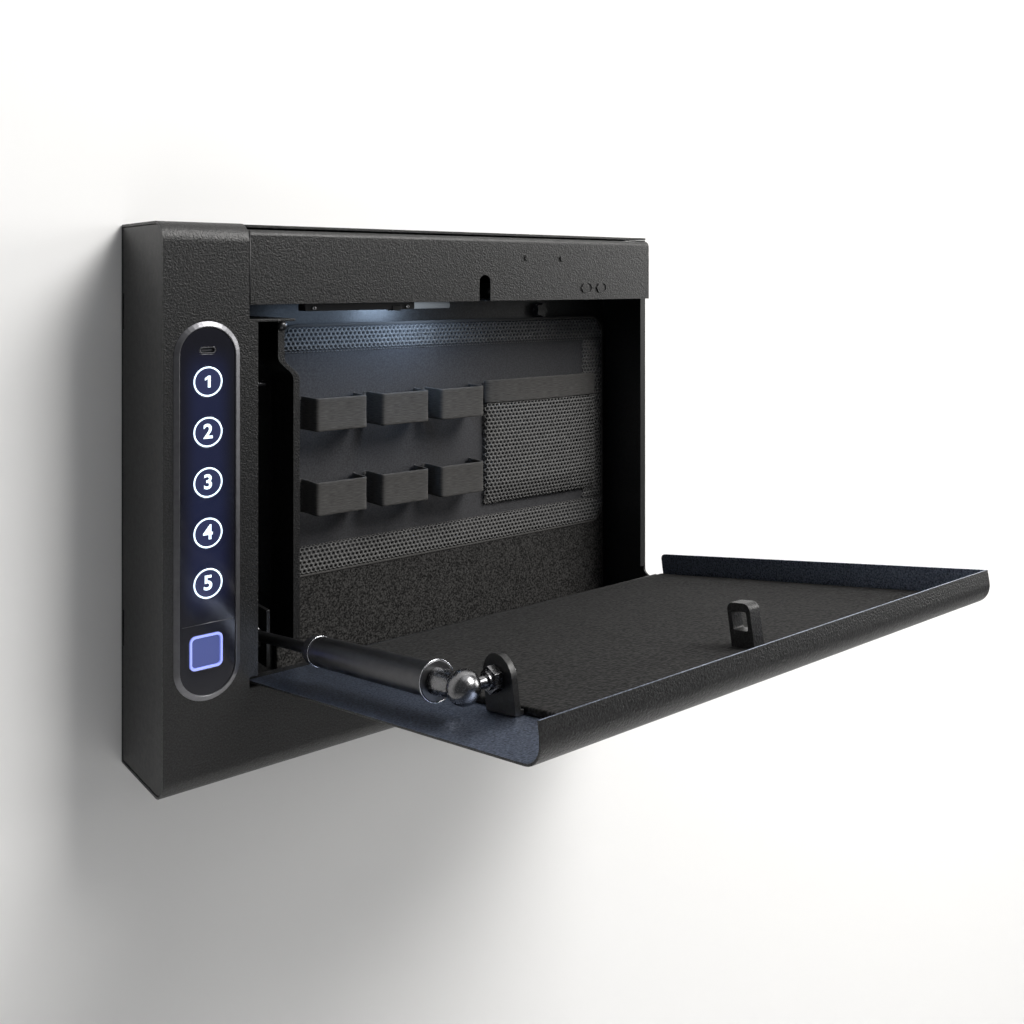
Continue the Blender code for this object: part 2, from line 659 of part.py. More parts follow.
def latch_spring(corner):
    """A light coil on the plunger, between its head and the solenoid."""
    left = LATCH_TIP + LATCH_LENGTH + GAP + 1.5
    low, high = left + 0.6, SOLENOID_LEFT - 0.6
    turns, steps, sides, coil, wire = 6, 12, 6, 3.55, 0.3
    bm = bmesh.new()
    rings = []
    for i in range(turns * steps + 1):
        angle = math.tau * i / steps
        along = low + (high - low) * i / (turns * steps)
        outward = Vector((0, math.cos(angle), math.sin(angle)))
        centre = Vector((along, PLUNGER_Y, LATCH_Z)) + outward * coil
        ring = []
        for a, b in circle((0, 0), wire, sides):
            ring.append(bm.verts.new(centre + outward * a + Vector((b, 0, 0))))
        rings.append(ring)
    for first, second in zip(rings, rings[1:]):
        for i in range(sides):
            j = (i + 1) % sides
            bm.faces.new((first[i], first[j], second[j], second[i]))
    bm.faces.new(rings[0])
    bm.faces.new(rings[-1])
    finish(smooth(solid("latch_spring", bm)), corner, BRIGHT_STEEL)


# ---------------------------------------------------------------- hinge


def knuckle_spans(first):
    """The X spans of every other knuckle, starting with the first or the second."""
    length = (HINGE_RIGHT - HINGE_LEFT) / KNUCKLES
    clear = 0.2
    spans = []
    for i in range(first, KNUCKLES, 2):
        spans.append((HINGE_LEFT + length * i + clear, HINGE_LEFT + length * (i + 1) - clear))
    return spans


def hinge(corner, door):
    """A piano hinge: one leaf on the strip's ledge, one on the door's skin, and the pin."""
    ledge = STRIP_TOP + GAP
    arm_low = AXIS_HEIGHT - BARREL_RADIUS
    foot = [(6.0, ledge), (LEDGE_DEPTH - 1, ledge), (LEDGE_DEPTH - 1, ledge + 1), (7.0, ledge + 1)]
    foot += [(7.0, arm_low + 1), (6.0, arm_low + 1)]
    fixed = prism("hinge_leaf_fixed", foot, "X", HINGE_LEFT, HINGE_RIGHT)
    for low, high in knuckle_spans(0):
        barrel = rod("barrel", "X", (0, AXIS_DEPTH, AXIS_HEIGHT), BARREL_RADIUS, low, high, 16)
        arm = box("arm", (low, AXIS_DEPTH, arm_low), (high, 6.5, arm_low + 1))
        join(fixed, barrel, arm)
    centre = (0, AXIS_DEPTH, AXIS_HEIGHT)
    bore = rod("bore", "X", centre, PIN_RADIUS + 0.1, HINGE_LEFT - 5, HINGE_RIGHT + 5, 12)
    finish(smooth(cut(fixed, bore)), corner, BRIGHT_STEEL)
    pin = rod("hinge_pin", "X", centre, PIN_RADIUS, HINGE_LEFT - 0.5, HINGE_RIGHT + 0.5, 12)
    finish(pin, corner, BRIGHT_STEEL)
    skin = DOOR_SHEET + GAP
    moving = box("hinge_leaf_door", (HINGE_LEFT, skin, 2.4), (HINGE_RIGHT, skin + 1, 14))
    for low, high in knuckle_spans(1):
        barrel = rod("barrel", "X", (0, AXIS_DEPTH, 0), BARREL_RADIUS, low, high, 16)
        arm = box("arm", (low, AXIS_DEPTH - BARREL_RADIUS, 0), (high, skin + 1, 3))
        join(moving, barrel, arm)
    bore = rod("bore", "X", (0, AXIS_DEPTH, 0), PIN_RADIUS + 0.1, HINGE_LEFT - 5, HINGE_RIGHT + 5, 12)
    finish(smooth(cut(moving, bore)), door, BRIGHT_STEEL)


# ---------------------------------------------------------------- door


def door_skin(door):
    """The folded door: a flat skin, a curled lip on its far edge and a flange on its right."""
    reach = DOOR_TOP - LIP_BEND
    outer = [(LIP_HEIGHT, DOOR_TOP)]
    outer += arc((LIP_BEND, reach), LIP_BEND, 90, 180, 8)
    outer += [(0, DOOR_FOOT), (LIP_HEIGHT, DOOR_FOOT)]
    skin = prism("door_skin", outer, "X", DOOR_LEFT, WIDTH)
    inner_bend = LIP_BEND - DOOR_SHEET
    hollow = [(LIP_HEIGHT + 5, DOOR_TOP - DOOR_SHEET)]
    hollow += arc((LIP_BEND, reach), inner_bend, 90, 180, 8)
    hollow += [(DOOR_SHEET, DOOR_FOOT - 5), (LIP_HEIGHT + 5, DOOR_FOOT - 5)]
    cut(skin, prism("hollow", hollow, "X", DOOR_LEFT - 5, WIDTH - DOOR_SHEET))
    corner = 4.0
    trim = [(DOOR_SHEET, DOOR_FOOT - 2), (LIP_HEIGHT + 5, DOOR_FOOT - 2)]
    trim += [(LIP_HEIGHT + 5, FLANGE_START + corner), (LIP_HEIGHT, FLANGE_START + corner)]
    trim += arc((LIP_HEIGHT - corner, FLANGE_START + corner), corner, 0, -90, 5)
    trim += [(DOOR_SHEET, FLANGE_START)]
    cut(skin, prism("trim", trim, "X", WIDTH - 5, WIDTH + 5))
    return finish(smooth(skin), door, BLACK_STEEL)


def door_foam(door):
    front = DOOR_SHEET + GAP
    far = DOOR_TOP - LIP_BEND
    foam = box("door_foam", (FOAM_LEFT, front, 3.0), (WIDTH - DOOR_SHEET - 0.6, front + FOAM_THICK, far))
    leaf = box("leaf", (HINGE_LEFT - 1, front - 1, -5), (HINGE_RIGHT + 1, front + 1 + GAP, 14 + GAP))
    cut(foam, leaf)
    half = STRIKER_THICK / 2 + 0.6
    notch = (
        (SLOT_CENTRE - half, -5, STRIKER_LOW - 0.6),
        (SLOT_CENTRE + half + 6, 15, far + 5),
    )
    cut(foam, box("notch", *notch))
    return finish(foam, door, FOAM)


def door_striker(door):
    """The thick plate with a square window that goes into the header."""
    foot = DOOR_SHEET + GAP
    outline = [(foot, STRIKER_LOW), (STRIKER_REACH - 4, STRIKER_LOW)]
    outline += arc((STRIKER_REACH - 4, STRIKER_LOW + 4), 4, -90, 0, 5)
    outline += arc((STRIKER_REACH - 4, STRIKER_HIGH - 4), 4, 0, 90, 5)
    outline += [(foot, STRIKER_HIGH)]
    half = STRIKER_THICK / 2
    plate = prism("door_striker", outline, "X", SLOT_CENTRE - half, SLOT_CENTRE + half)
    middle = (STRIKER_LOW + STRIKER_HIGH) / 2
    window = rounded(14.0, middle - 5, 24.0, middle + 5, 1.2, 3)
    cut(plate, prism("window", window, "X", SLOT_CENTRE - 10, SLOT_CENTRE + 10))
    return finish(smooth(plate), door, BLACK_STEEL)


def strut_door_bracket(door):
    """A round-topped plate with a folded foot, which carries the ball stud."""
    foot = DOOR_SHEET + GAP
    left = STRUT_X + BRACKET_FROM_BALL
    half = BRACKET_HALF
    outline = [(foot, BALL_FROM_AXIS - half), (foot, BALL_FROM_AXIS + half)]
    outline += arc((BALL_ABOVE_SKIN, BALL_FROM_AXIS), half, 90, -90, 14)
    plate = prism("strut_door_bracket", outline, "X", left, left + BRACKET_THICK)
    low = (left, foot, BALL_FROM_AXIS - half)
    high = (FOAM_LEFT - 0.6, foot + 2.5, BALL_FROM_AXIS + half)
    base = box("base", low, high)
    join(plate, base)
    centre = (0, BALL_ABOVE_SKIN, BALL_FROM_AXIS)
    cut(plate, rod("stud_hole", "X", centre, STUD_RADIUS + 0.3, left - 5, left + 9, 20))
    return finish(smooth(plate), door, DARK_CHROME)


def hexagon(centre, across):
    radius = across / math.sqrt(3)
    return arc(centre, radius, 0, 360, 6)[:-1]


def ball_profile(radius, first, last):
    """Points along a ball's side, from one angle to another in degrees off its far left."""
    points = [(-radius, 0)]
    for angle in range(first, last + 1, first):
        turn = math.radians(angle)
        points.append((-radius * math.cos(turn), radius * math.sin(turn)))
    return points


def ball_stud(door):
    """The ball, its neck, a hexagon against the bracket, and the threaded end through it."""
    centre = (STRUT_X, BALL_ABOVE_SKIN, BALL_FROM_AXIS)
    shoulder = BRACKET_FROM_BALL - 7.0
    hex_start = BRACKET_FROM_BALL - 4.9
    end = BRACKET_FROM_BALL + BRACKET_THICK + 5.5
    profile = ball_profile(STUD_BALL_RADIUS, 20, 140)
    profile += [(10.0, STUD_RADIUS), (shoulder, STUD_RADIUS), (shoulder, 4.4)]
    profile += [(hex_start, 4.4), (hex_start, STUD_RADIUS), (end, STUD_RADIUS), (end, 0)]
    stud = turned("ball_stud", profile, "X", centre, 24)
    low, high = STRUT_X + hex_start - 0.3, STRUT_X + BRACKET_FROM_BALL - GAP
    hexed = prism("hexed", hexagon(centre[1:], 11.4), "X", low, high)
    return finish(smooth(join(stud, hexed)), door, DARK_CHROME)


def stud_nut(door):
    left = STRUT_X + BRACKET_FROM_BALL + BRACKET_THICK + GAP
    centre = (BALL_ABOVE_SKIN, BALL_FROM_AXIS)
    nut = prism("stud_nut", hexagon(centre, 10.0), "X", left, left + 4.2)
    cut(nut, rod("thread", "X", (0, *centre), STUD_RADIUS + 0.3, left - 5, left + 15, 20))
    return finish(smooth(nut), door, DARK_CHROME)


# ---------------------------------------------------------------- strut


def open_place(y, z):
    """Where a point of the shut door goes when the door opens, as the body's (Y, Z)."""
    from_axis = Vector((y - AXIS_DEPTH, z))
    sin, cos = math.sin(OPEN_ANGLE), math.cos(OPEN_ANGLE)
    turned_y = from_axis.x * cos - from_axis.y * sin
    turned_z = from_axis.x * sin + from_axis.y * cos
    return AXIS_DEPTH + turned_y, AXIS_HEIGHT + turned_z


def strut(corner):
    """A damper on the door's ball. Its pieces lie along +Z of an empty at the ball."""
    ball_y, ball_z = open_place(BALL_ABOVE_SKIN, BALL_FROM_AXIS)
    reach = math.hypot(ANCHOR_Y - ball_y, ANCHOR_Z - ball_z)
    tilt = math.atan2(ANCHOR_Y - ball_y, ANCHOR_Z - ball_z)
    axis = empty("strut_axis", corner, (STRUT_X, ball_y, ball_z), (-tilt, 0, 0))
    tube = ((TUBE_NEAR, 0), (TUBE_NEAR, FLARE_RADIUS - 0.7), (TUBE_NEAR + 0.7, FLARE_RADIUS))
    tube += ((TUBE_NEAR + 1.6, FLARE_RADIUS), (TUBE_NEAR + 3.4, TUBE_RADIUS))
    tube += ((TUBE_FAR - 0.6, TUBE_RADIUS), (TUBE_FAR, TUBE_RADIUS - 0.6), (TUBE_FAR, 0))
    barrel = turned("strut_tube", tube, "Z", (0, 0, 0), 28)
    cut(barrel, rod("bore", "Z", (0, 0, 0), ROD_RADIUS + 0.4, TUBE_NEAR + 6, TUBE_FAR + 5, 20))
    finish(smooth(barrel), axis, DARK_CHROME)
    cap = (
        (TUBE_FAR + GAP, 0),
        (TUBE_FAR + GAP, TUBE_RADIUS - 0.3),
        (CAP_FAR - 3.5, TUBE_RADIUS - 0.3),
        (CAP_FAR - 1.0, TUBE_RADIUS - 1.2),
        (CAP_FAR, TUBE_RADIUS - 3.0),
        (CAP_FAR, 0),
    )
    guide = turned("strut_guide_cap", cap, "Z", (0, 0, 0), 28)
    cut(guide, rod("bore", "Z", (0, 0, 0), ROD_RADIUS + 0.4, TUBE_FAR - 5, CAP_FAR + 5, 20))
    finish(smooth(guide), axis, BLACK_STEEL)
    finish(strut_socket(), axis, DARK_CHROME)
    bar = rod("strut_rod", "Z", (0, 0, 0), ROD_RADIUS, reach - ROD_IN_TUBE, reach - 6 - GAP, 20)
    finish(bar, axis, BRIGHT_STEEL)
    end = rod("strut_rod_end", "X", (0, 0, reach), 6.0, -2.5, 2.5, 24)
    pin = rod("pin", "X", (0, 0, reach), 3.0, 0, 11.5, 20)
    finish(smooth(join(end, pin)), axis, BRIGHT_STEEL)


def strut_socket():
    """A round housing that snaps over the ball, open on the stud's side, with its shank."""
    sphere = ball_profile(BALL_RADIUS, 15, 150)
    sphere += [(BALL_RADIUS * math.cos(math.radians(30)), 0)]
    housing = turned("strut_socket", sphere, "X", (0, 0, 0), 24)
    end = TUBE_NEAR - GAP
    profile = ((4, 0), (4, 6.0), (9, 6.0), (end, 6.6), (end, 0))
    join(housing, turned("shank", profile, "Z", (0, 0, 0), 24))
    hollow = ball_profile(STUD_BALL_RADIUS + GAP, 20, 120)
    hollow += [(BALL_RADIUS + 2, 6.5), (BALL_RADIUS + 2, 0)]
    return smooth(cut(housing, turned("hollow", hollow, "X", (0, 0, 0), 20)))


def strut_anchor_bracket(corner):
    """A plate on the back wall with a level slot, in which the rod end's pin floats."""
    left = STRUT_X + 5.0
    plate = box("strut_anchor_bracket", (left, 30, 52), (left + 2.5, BACK_FACE - GAP, 88))
    base = box("base", (left, BACK_FACE - GAP - 2.5, 52), (left + 14, BACK_FACE - GAP, 88))
    join(plate, base)
    front, back = ANCHOR_Y - FLOAT_FRONT, ANCHOR_Y + FLOAT_BACK
    low, high = ANCHOR_Z - FLOAT_DOWN, ANCHOR_Z + FLOAT_UP
    slot = rounded(front, low, back, high, 4.0, 5)
    cut(plate, prism("slot", slot, "X", left - 5, left + 10))
    return finish(smooth(plate), corner, BLACK_STEEL)


def build():
    clear_scene()
    corner = empty("front_left_corner", None, (-WIDTH / 2, -DEPTH, -HEIGHT / 2))
    hinge_axis = empty("door_hinge_axis", corner, (0, AXIS_DEPTH, AXIS_HEIGHT), (OPEN_ANGLE, 0, 0))
    door = empty("door_face", hinge_axis, (0, -AXIS_DEPTH, 0))
    for piece in (
        wrap_shell,
        left_side_panel,
        right_side_panel,
        back_plate,
        wall_bolts,
        header_channel,
        bay_front_strip,
        bay_partition,
        column_divider,
        bay_cross_pin,
        bay_screw,
        back_foam,
        organiser_panel,
        elastic_loops,
        document_pocket,
        keypad_bezel,
        keypad_panel,
        keypad_keys,
        charge_port,
        fingerprint_reader,
        boards_and_battery,
        led_bar,
        latch,
        strut,
        strut_anchor_bracket,
    ):
        piece(corner)
    for piece in (door_skin, door_foam, door_striker, strut_door_bracket, ball_stud, stud_nut):
        piece(door)
    hinge(corner, door)


build()
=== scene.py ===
"""The looks of the wall safe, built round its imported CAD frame.

Lengths in this file are millimetres from the case's front lower left corner (X right, Y into the wall, Z up),
and at() turns them into the frame's metres. Pieces on the open door use the door's own directions instead.
"""

import json
import math

import bmesh
import bpy
from mathutils import Matrix, Vector, noise


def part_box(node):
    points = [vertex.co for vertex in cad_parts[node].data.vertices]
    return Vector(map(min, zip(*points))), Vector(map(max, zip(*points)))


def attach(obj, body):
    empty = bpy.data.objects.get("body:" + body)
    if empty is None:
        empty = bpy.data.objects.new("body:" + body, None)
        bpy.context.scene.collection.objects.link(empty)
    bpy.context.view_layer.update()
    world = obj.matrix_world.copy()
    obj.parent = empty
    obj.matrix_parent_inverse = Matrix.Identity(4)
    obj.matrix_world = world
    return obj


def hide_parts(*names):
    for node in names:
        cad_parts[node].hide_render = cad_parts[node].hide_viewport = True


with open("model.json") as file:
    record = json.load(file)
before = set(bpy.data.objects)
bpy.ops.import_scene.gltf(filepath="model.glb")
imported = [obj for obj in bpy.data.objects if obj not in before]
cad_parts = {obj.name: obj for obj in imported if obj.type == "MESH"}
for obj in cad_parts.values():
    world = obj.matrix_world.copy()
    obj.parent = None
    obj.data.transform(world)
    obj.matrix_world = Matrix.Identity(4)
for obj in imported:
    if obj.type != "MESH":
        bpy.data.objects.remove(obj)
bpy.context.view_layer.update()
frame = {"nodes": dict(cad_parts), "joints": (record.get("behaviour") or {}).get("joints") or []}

MM = 0.001
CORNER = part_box("wrap_shell")[0]
JOINTS = {joint["name"]: joint for joint in frame["joints"]}
DOOR_LEAN = math.radians(9.5)  # the open door's rise above the level
DOOR_OUT = Vector((0.0, -math.cos(DOOR_LEAN), math.sin(DOOR_LEAN)))
DOOR_UP = Vector((0.0, math.sin(DOOR_LEAN), math.cos(DOOR_LEAN)))
BALL_CENTRE = Vector(JOINTS["strut_pivot"]["pos_m"])
STRUT_DIRECTION = -Vector(JOINTS["rod_slide"]["axis"])  # from the ball to the rod's end
STRUT_RINGS = (("strut_ring_near", 22.3, 9.9), ("strut_ring_far", 140.2, 8.3))  # from the ball, radius

NET_PITCH = 3.4  # between hole centres of the coarse mesh
NET_STRAND = 0.62  # of the pitch is open
EDGE_ROUND = 0.28  # a CAD node's softened edges

HEADER_SEAM_SHADOW = 344.4  # from the header's right end, where a dark rod paints the shadow in the seam by the column
SENSOR_TO_SEAM = 6.4  # from the reader's frame up to the hairline in the glass

KEY_LIGHT = (1.0, 0.985, 0.96)
LED_TINT = (0.55, 0.73, 1.0)


def at(x, y, z):
    """The frame's metres for a point in millimetres from the case's front lower left corner."""
    return CORNER + Vector((x, y, z)) * MM


def millimetres(node):
    """A CAD node's lowest and highest corners in millimetres from that same corner."""
    low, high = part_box(node)
    return (low - CORNER) / MM, (high - CORNER) / MM


# Materials


class Look:
    """A Principled material, with short calls for the node patterns that vary it."""

    def __init__(self, name, colour, roughness, metallic=0.0, specular=0.5):
        self.material = bpy.data.materials.new(name)
        self.material.use_nodes = True
        self.tree = self.material.node_tree
        self.shader = self.tree.nodes["Principled BSDF"]
        self.colour = colour
        self.set("Base Color", (*colour, 1.0))
        self.set("Roughness", roughness)
        self.set("Metallic", metallic)
        self.set("Specular IOR Level", specular)
        self.coordinates = self.tree.nodes.new("ShaderNodeTexCoord")
        self.height = None

    def set(self, socket, value):
        self.shader.inputs[socket].default_value = value
        return self

    def node(self, kind, **settings):
        made = self.tree.nodes.new(kind)
        for key, value in settings.items():
            if key in made.inputs:
                made.inputs[key].default_value = value
            else:
                setattr(made, key, value)
        return made

    def link(self, output, target):
        self.tree.links.new(output, target)

    def math(self, operation, first, second):
        made = self.tree.nodes.new("ShaderNodeMath")
        made.operation = operation
        for socket, value in zip(made.inputs, (first, second)):
            if isinstance(value, bpy.types.NodeSocket):
                self.link(value, socket)
            else:
                socket.default_value = value
        return made.outputs[0]

    def noise(self, scale, detail=2.0, stretch=(1, 1, 1), space="Object"):
        """A noise pattern's value, with scale in cells a metre, or a UV unit."""
        mapping = self.node("ShaderNodeMapping", Scale=stretch)
        self.link(self.coordinates.outputs[space], mapping.inputs["Vector"])
        made = self.node("ShaderNodeTexNoise", Scale=scale, Detail=detail)
        self.link(mapping.outputs[0], made.inputs["Vector"])
        return made.outputs["Fac"]

    def waves(self, scale, direction, distortion=0.0, space="UV"):
        mapping = self.node("ShaderNodeMapping")
        self.link(self.coordinates.outputs[space], mapping.inputs["Vector"])
        made = self.node("ShaderNodeTexWave", Scale=scale, Distortion=distortion)
        made.bands_direction = direction
        made.inputs["Detail Scale"].default_value = 2.0
        self.link(mapping.outputs[0], made.inputs["Vector"])
        return made.outputs["Fac"]

    def mottle(self, value, low, high, start=0.3, end=0.7):
        """The base colour runs from low to high times itself with value."""
        ramp = self.tree.nodes.new("ShaderNodeValToRGB")
        ramp.color_ramp.elements[0].position = start
        ramp.color_ramp.elements[1].position = end
        ramp.color_ramp.elements[0].color = (*(c * low for c in self.colour), 1.0)
        ramp.color_ramp.elements[1].color = (*(c * high for c in self.colour), 1.0)
        self.link(value, ramp.inputs[0])
        self.link(ramp.outputs[0], self.shader.inputs["Base Color"])
        return self

    def gloss(self, value, low, high):
        """The roughness runs from low to high with value."""
        made = self.node("ShaderNodeMapRange")
        made.inputs["From Min"].default_value = 0.3
        made.inputs["From Max"].default_value = 0.7
        made.inputs["To Min"].default_value = low
        made.inputs["To Max"].default_value = high
        self.link(value, made.inputs["Value"])
        self.link(made.outputs[0], self.shader.inputs["Roughness"])
        return self

    def relief(self, value, depth, strength=1.0):
        """The surface's small shape, depth millimetres from low to high."""
        made = self.node("ShaderNodeBump", Strength=strength, Distance=depth * MM)
        self.link(value, made.inputs["Height"])
        if self.height:
            self.link(self.height, made.inputs["Normal"])
        self.height = made.outputs[0]
        self.link(self.height, self.shader.inputs["Normal"])
        return self

    def glow(self, colour, strength):
        self.set("Emission Color", (*colour, 1.0))
        self.set("Emission Strength", strength)
        return self


def powder_coat(name, colour, roughness, depth):
    look = Look(name, colour, roughness, metallic=0.0, specular=0.42)
    grain = look.noise(860, detail=2.0)
    fine = look.noise(1700, detail=1.0)
    look.mottle(look.noise(1000, detail=1.0), 0.25, 2.6, 0.36, 0.70)
    look.gloss(look.noise(300, detail=3.0), roughness - 0.03, roughness + 0.03)
    look.relief(grain, depth, 0.9)
    look.relief(fine, depth * 0.35, 0.8)
    return look


def moulded(name, colour, roughness):
    look = Look(name, colour, roughness)
    look.mottle(look.noise(30), 0.85, 1.15)
    look.relief(look.noise(1900, detail=1.0), 0.03, 0.6)
    return look


def metal(name, colour, roughness, stretch=(1, 1, 1)):
    look = Look(name, colour, roughness, metallic=1.0)
    look.mottle(look.noise(240, detail=4.0), 0.9, 1.08)
    look.gloss(look.noise(900, detail=2.0, stretch=stretch), roughness - 0.05, roughness + 0.06)
    look.relief(look.noise(1400, detail=2.0, stretch=stretch), 0.003, 0.5)
    return look


def foam_look(name, colour, cell_scale):
    look = Look(name, colour, 0.95, specular=0.12)
    cells = look.noise(cell_scale, detail=2.0)
    look.mottle(cells, 0.22, 2.7, 0.36, 0.68)
    look.relief(cells, 0.55, 0.9)
    look.relief(look.noise(160, detail=2.0), 0.35, 0.5)
    look.set("Sheen Weight", 0.03)
    return look


def webbing_look():
    """A narrow elastic: fine crosswise ribs and streaks of lighter yarn along it. UV is in millimetres."""
    look = Look("elastic_weave", (0.050, 0.0485, 0.047), 0.9, specular=0.2)
    streaks = look.noise(1.0, detail=3.0, stretch=(0.16, 2.6, 1.0), space="UV")
    look.mottle(streaks, 0.62, 1.38, 0.32, 0.68)
    look.relief(look.waves(0.50, "X", 0.6), 0.08, 0.5)
    look.relief(look.waves(0.42, "Y", 0.8), 0.10, 0.5)
    look.set("Sheen Weight", 0.04)
    return look


def nylon_look():
    look = Look("fine_nylon", (0.033, 0.033, 0.036), 0.8, specular=0.3)
    look.mottle(look.noise(900, detail=1.0), 0.75, 1.3)
    look.relief(look.waves(0.55, "X", 0.4), 0.14, 0.7)
    look.relief(look.waves(0.55, "Y", 0.4), 0.14, 0.7)
    look.set("Sheen Weight", 0.04)
    return look


def net_look():
    look = Look("mesh_yarn", (0.080, 0.079, 0.078), 0.6, specular=0.35)
    look.mottle(look.noise(900, detail=2.0), 0.6, 1.5)
    look.relief(look.noise(2400, detail=1.0), 0.08, 0.8)
    look.set("Sheen Weight", 0.05)
    return look


def inner_skin_look():
    """The door's satin inside, smoother than the coat outside. Its blue metallic tint is a painted reflection
    of the bluish light inside the safe.
    """
    # Painted reflection: the blue metallic base colour stands in for bluish light mirrored in black satin
    # paint.
    look = Look("door_satin_blue_reflection", (0.185, 0.215, 0.285), 0.40, metallic=1.0)
    look.mottle(look.noise(900, detail=2.0), 0.4, 1.8)
    look.relief(look.noise(900, detail=2.0), 0.06, 0.6)
    return look


def panel_look():
    """Black glass, lit navy from behind along the column of keys."""
    look = Look("keypad_glass", (0.006, 0.006, 0.010), 0.16, specular=0.6)
    look.gloss(look.noise(60, detail=3.0), 0.13, 0.2)
    position = look.node("ShaderNodeSeparateXYZ")
    look.link(look.coordinates.outputs["Object"], position.inputs[0])
    low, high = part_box("key_5")[0].z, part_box("key_1")[1].z
    middle, reach = (low + high) / 2, (high - low) / 2 + 6 * MM
    along = look.math("ABSOLUTE", look.math("SUBTRACT", position.outputs["Z"], middle), 0.0)
    fade = look.node("ShaderNodeMapRange", interpolation_type="SMOOTHSTEP")
    fade.inputs["From Min"].default_value = reach + 8 * MM
    fade.inputs["From Max"].default_value = reach - 14 * MM
    look.link(along, fade.inputs["Value"])
    centre = (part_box("key_1")[0].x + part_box("key_1")[1].x) / 2
    across = look.math("ABSOLUTE", look.math("SUBTRACT", position.outputs["X"], centre), 0.0)
    side = look.node("ShaderNodeMapRange", interpolation_type="SMOOTHSTEP")
    side.inputs["From Min"].default_value = 17 * MM
    side.inputs["From Max"].default_value = 5 * MM
    look.link(across, side.inputs["Value"])
    both = look.math("MULTIPLY", fade.outputs[0], side.outputs[0])
    look.set("Emission Color", (0.10, 0.16, 0.62, 1.0))
    look.link(look.math("MULTIPLY", both, 0.055), look.shader.inputs["Emission Strength"])
    return look


def lamp_look():
    """The light's lens: brightest at the bar's end and dimmer away from it."""
    look = Look("led_lens_glow", (0.2, 0.22, 0.25), 0.4)
    low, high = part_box("led_lens")
    position = look.node("ShaderNodeSeparateXYZ")
    look.link(look.coordinates.outputs["Object"], position.inputs[0])
    fade = look.node("ShaderNodeMapRange")
    fade.inputs["From Min"].default_value = low.x
    fade.inputs["From Max"].default_value = high.x
    fade.inputs["To Min"].default_value = 0.2
    fade.inputs["To Max"].default_value = 0.04
    look.link(position.outputs["X"], fade.inputs["Value"])
    look.set("Emission Color", (0.80, 0.90, 1.0, 1.0))
    look.link(fade.outputs[0], look.shader.inputs["Emission Strength"])
    return look


def make_looks():
    looks = {
        "coat": powder_coat("powder_coat", (0.0056, 0.0056, 0.0058), 0.42, 0.38),
        "coat_fine": powder_coat("powder_coat_fine", (0.0044, 0.0044, 0.0046), 0.42, 0.04),
        "plastic": moulded("moulded_black", (0.012, 0.012, 0.014), 0.45),
        "glass": panel_look(),
        "key": Look("key_face", (0.012, 0.014, 0.030), 0.2).glow((0.16, 0.20, 0.60), 0.11),
        "lit": Look("key_light", (0.7, 0.85, 1.0), 0.4).glow((0.72, 0.88, 1.0), 1.15),
        "lilac": Look("sensor_light", (0.3, 0.35, 0.8), 0.3).glow((0.24, 0.30, 0.86), 0.55),
        # Painted glow: the reader's pad is given a dim navy light of its own.
        "pad": Look("sensor_pad_painted_glow", (0.02, 0.025, 0.07), 0.25).glow((0.13, 0.17, 0.52), 0.42),
        "foam": foam_look("foam_cells", (0.0185, 0.018, 0.0175), 760),
        # Painted shade: the door's foam is the same foam as the back's, made darker to offset the light it
        # catches from above.
        "foam_painted_shade": foam_look("foam_cells_painted_shade", (0.0078, 0.0076, 0.0075), 470),
        "webbing": webbing_look(),
        "nylon": nylon_look(),
        "net": net_look(),
        "steel": metal("plated_steel", (0.42, 0.42, 0.43), 0.3),
        "chrome": metal("dark_chrome_brushed", (0.098, 0.098, 0.102), 0.36, (1, 0.08, 1)),
        "ball": metal("dark_chrome_worn", (0.17, 0.17, 0.175), 0.24),
        "ring": metal("polished_ring", (0.62, 0.63, 0.66), 0.16),
        "satin": inner_skin_look(),
        "board": moulded("green_board", (0.01, 0.055, 0.03), 0.4),
        "lamp": lamp_look(),
        "bezel": metal("bezel_satin", (0.16, 0.16, 0.17), 0.38),
        "thread": Look("stitch_thread", (0.11, 0.105, 0.10), 0.8),
    }
    for name in ("plastic", "board"):
        looks[name].set("Specular IOR Level", 0.45)
    for name in ("key", "pad", "lilac", "lit", "lamp", "thread"):
        looks[name].relief(looks[name].noise(1500, detail=1.0), 0.02, 0.4)
    return looks


LOOKS = make_looks()

NODE_LOOKS = {
    "coat": (
        "wrap_shell", "header_channel", "bay_partition", "bay_front_strip", "door_striker",
        "wall_bolt_1", "wall_bolt_2", "wall_bolt_3", "wall_bolt_4",
    ),
    "coat_fine": (
        "back_plate", "left_side_panel", "right_side_panel", "column_divider", "battery_bracket",
        "latch_bracket", "strut_anchor_bracket", "hinge_leaf_fixed", "hinge_leaf_door",
        "strut_door_bracket",
    ),
    "plastic": ("led_bar", "battery_pack", "solenoid_body", "strut_guide_cap"),
    "glass": ("keypad_panel",),
    "lilac": ("fingerprint_frame",),
    "pad": ("fingerprint_sensor",),
    "steel": ("hinge_pin",),
    "bezel": ("charge_port",),
    "chrome": (
        "strut_tube", "strut_rod", "strut_rod_end", "bay_cross_pin", "bay_screw", "latch_bolt",
        "latch_spring", "solenoid_plunger",
    ),
    "ball": ("ball_stud", "stud_nut", "strut_socket"),
    "board": ("control_board", "keypad_board"),
    "lamp": ("led_lens",),
    "satin": ("door_skin",),
    "key": tuple(f"key_{n}" for n in range(1, 6)),
}


def dress_node(name, look):
    """A carried-over CAD node gets its material, softened edges and smooth shading. Its own mesh stays."""
    node = frame["nodes"][name]
    node.data.materials.clear()
    node.data.materials.append(look.material)
    for polygon in node.data.polygons:
        polygon.use_smooth = True
    weld = node.modifiers.new("join_corners", "WELD")
    weld.merge_threshold = 0.01 * MM
    bevel = node.modifiers.new("soft_edges", "BEVEL")
    bevel.width = EDGE_ROUND * MM
    bevel.segments = 2
    bevel.limit_method = "ANGLE"
    bevel.angle_limit = math.radians(40)
    node.modifiers.new("flat_faces", "WEIGHTED_NORMAL").keep_sharp = True


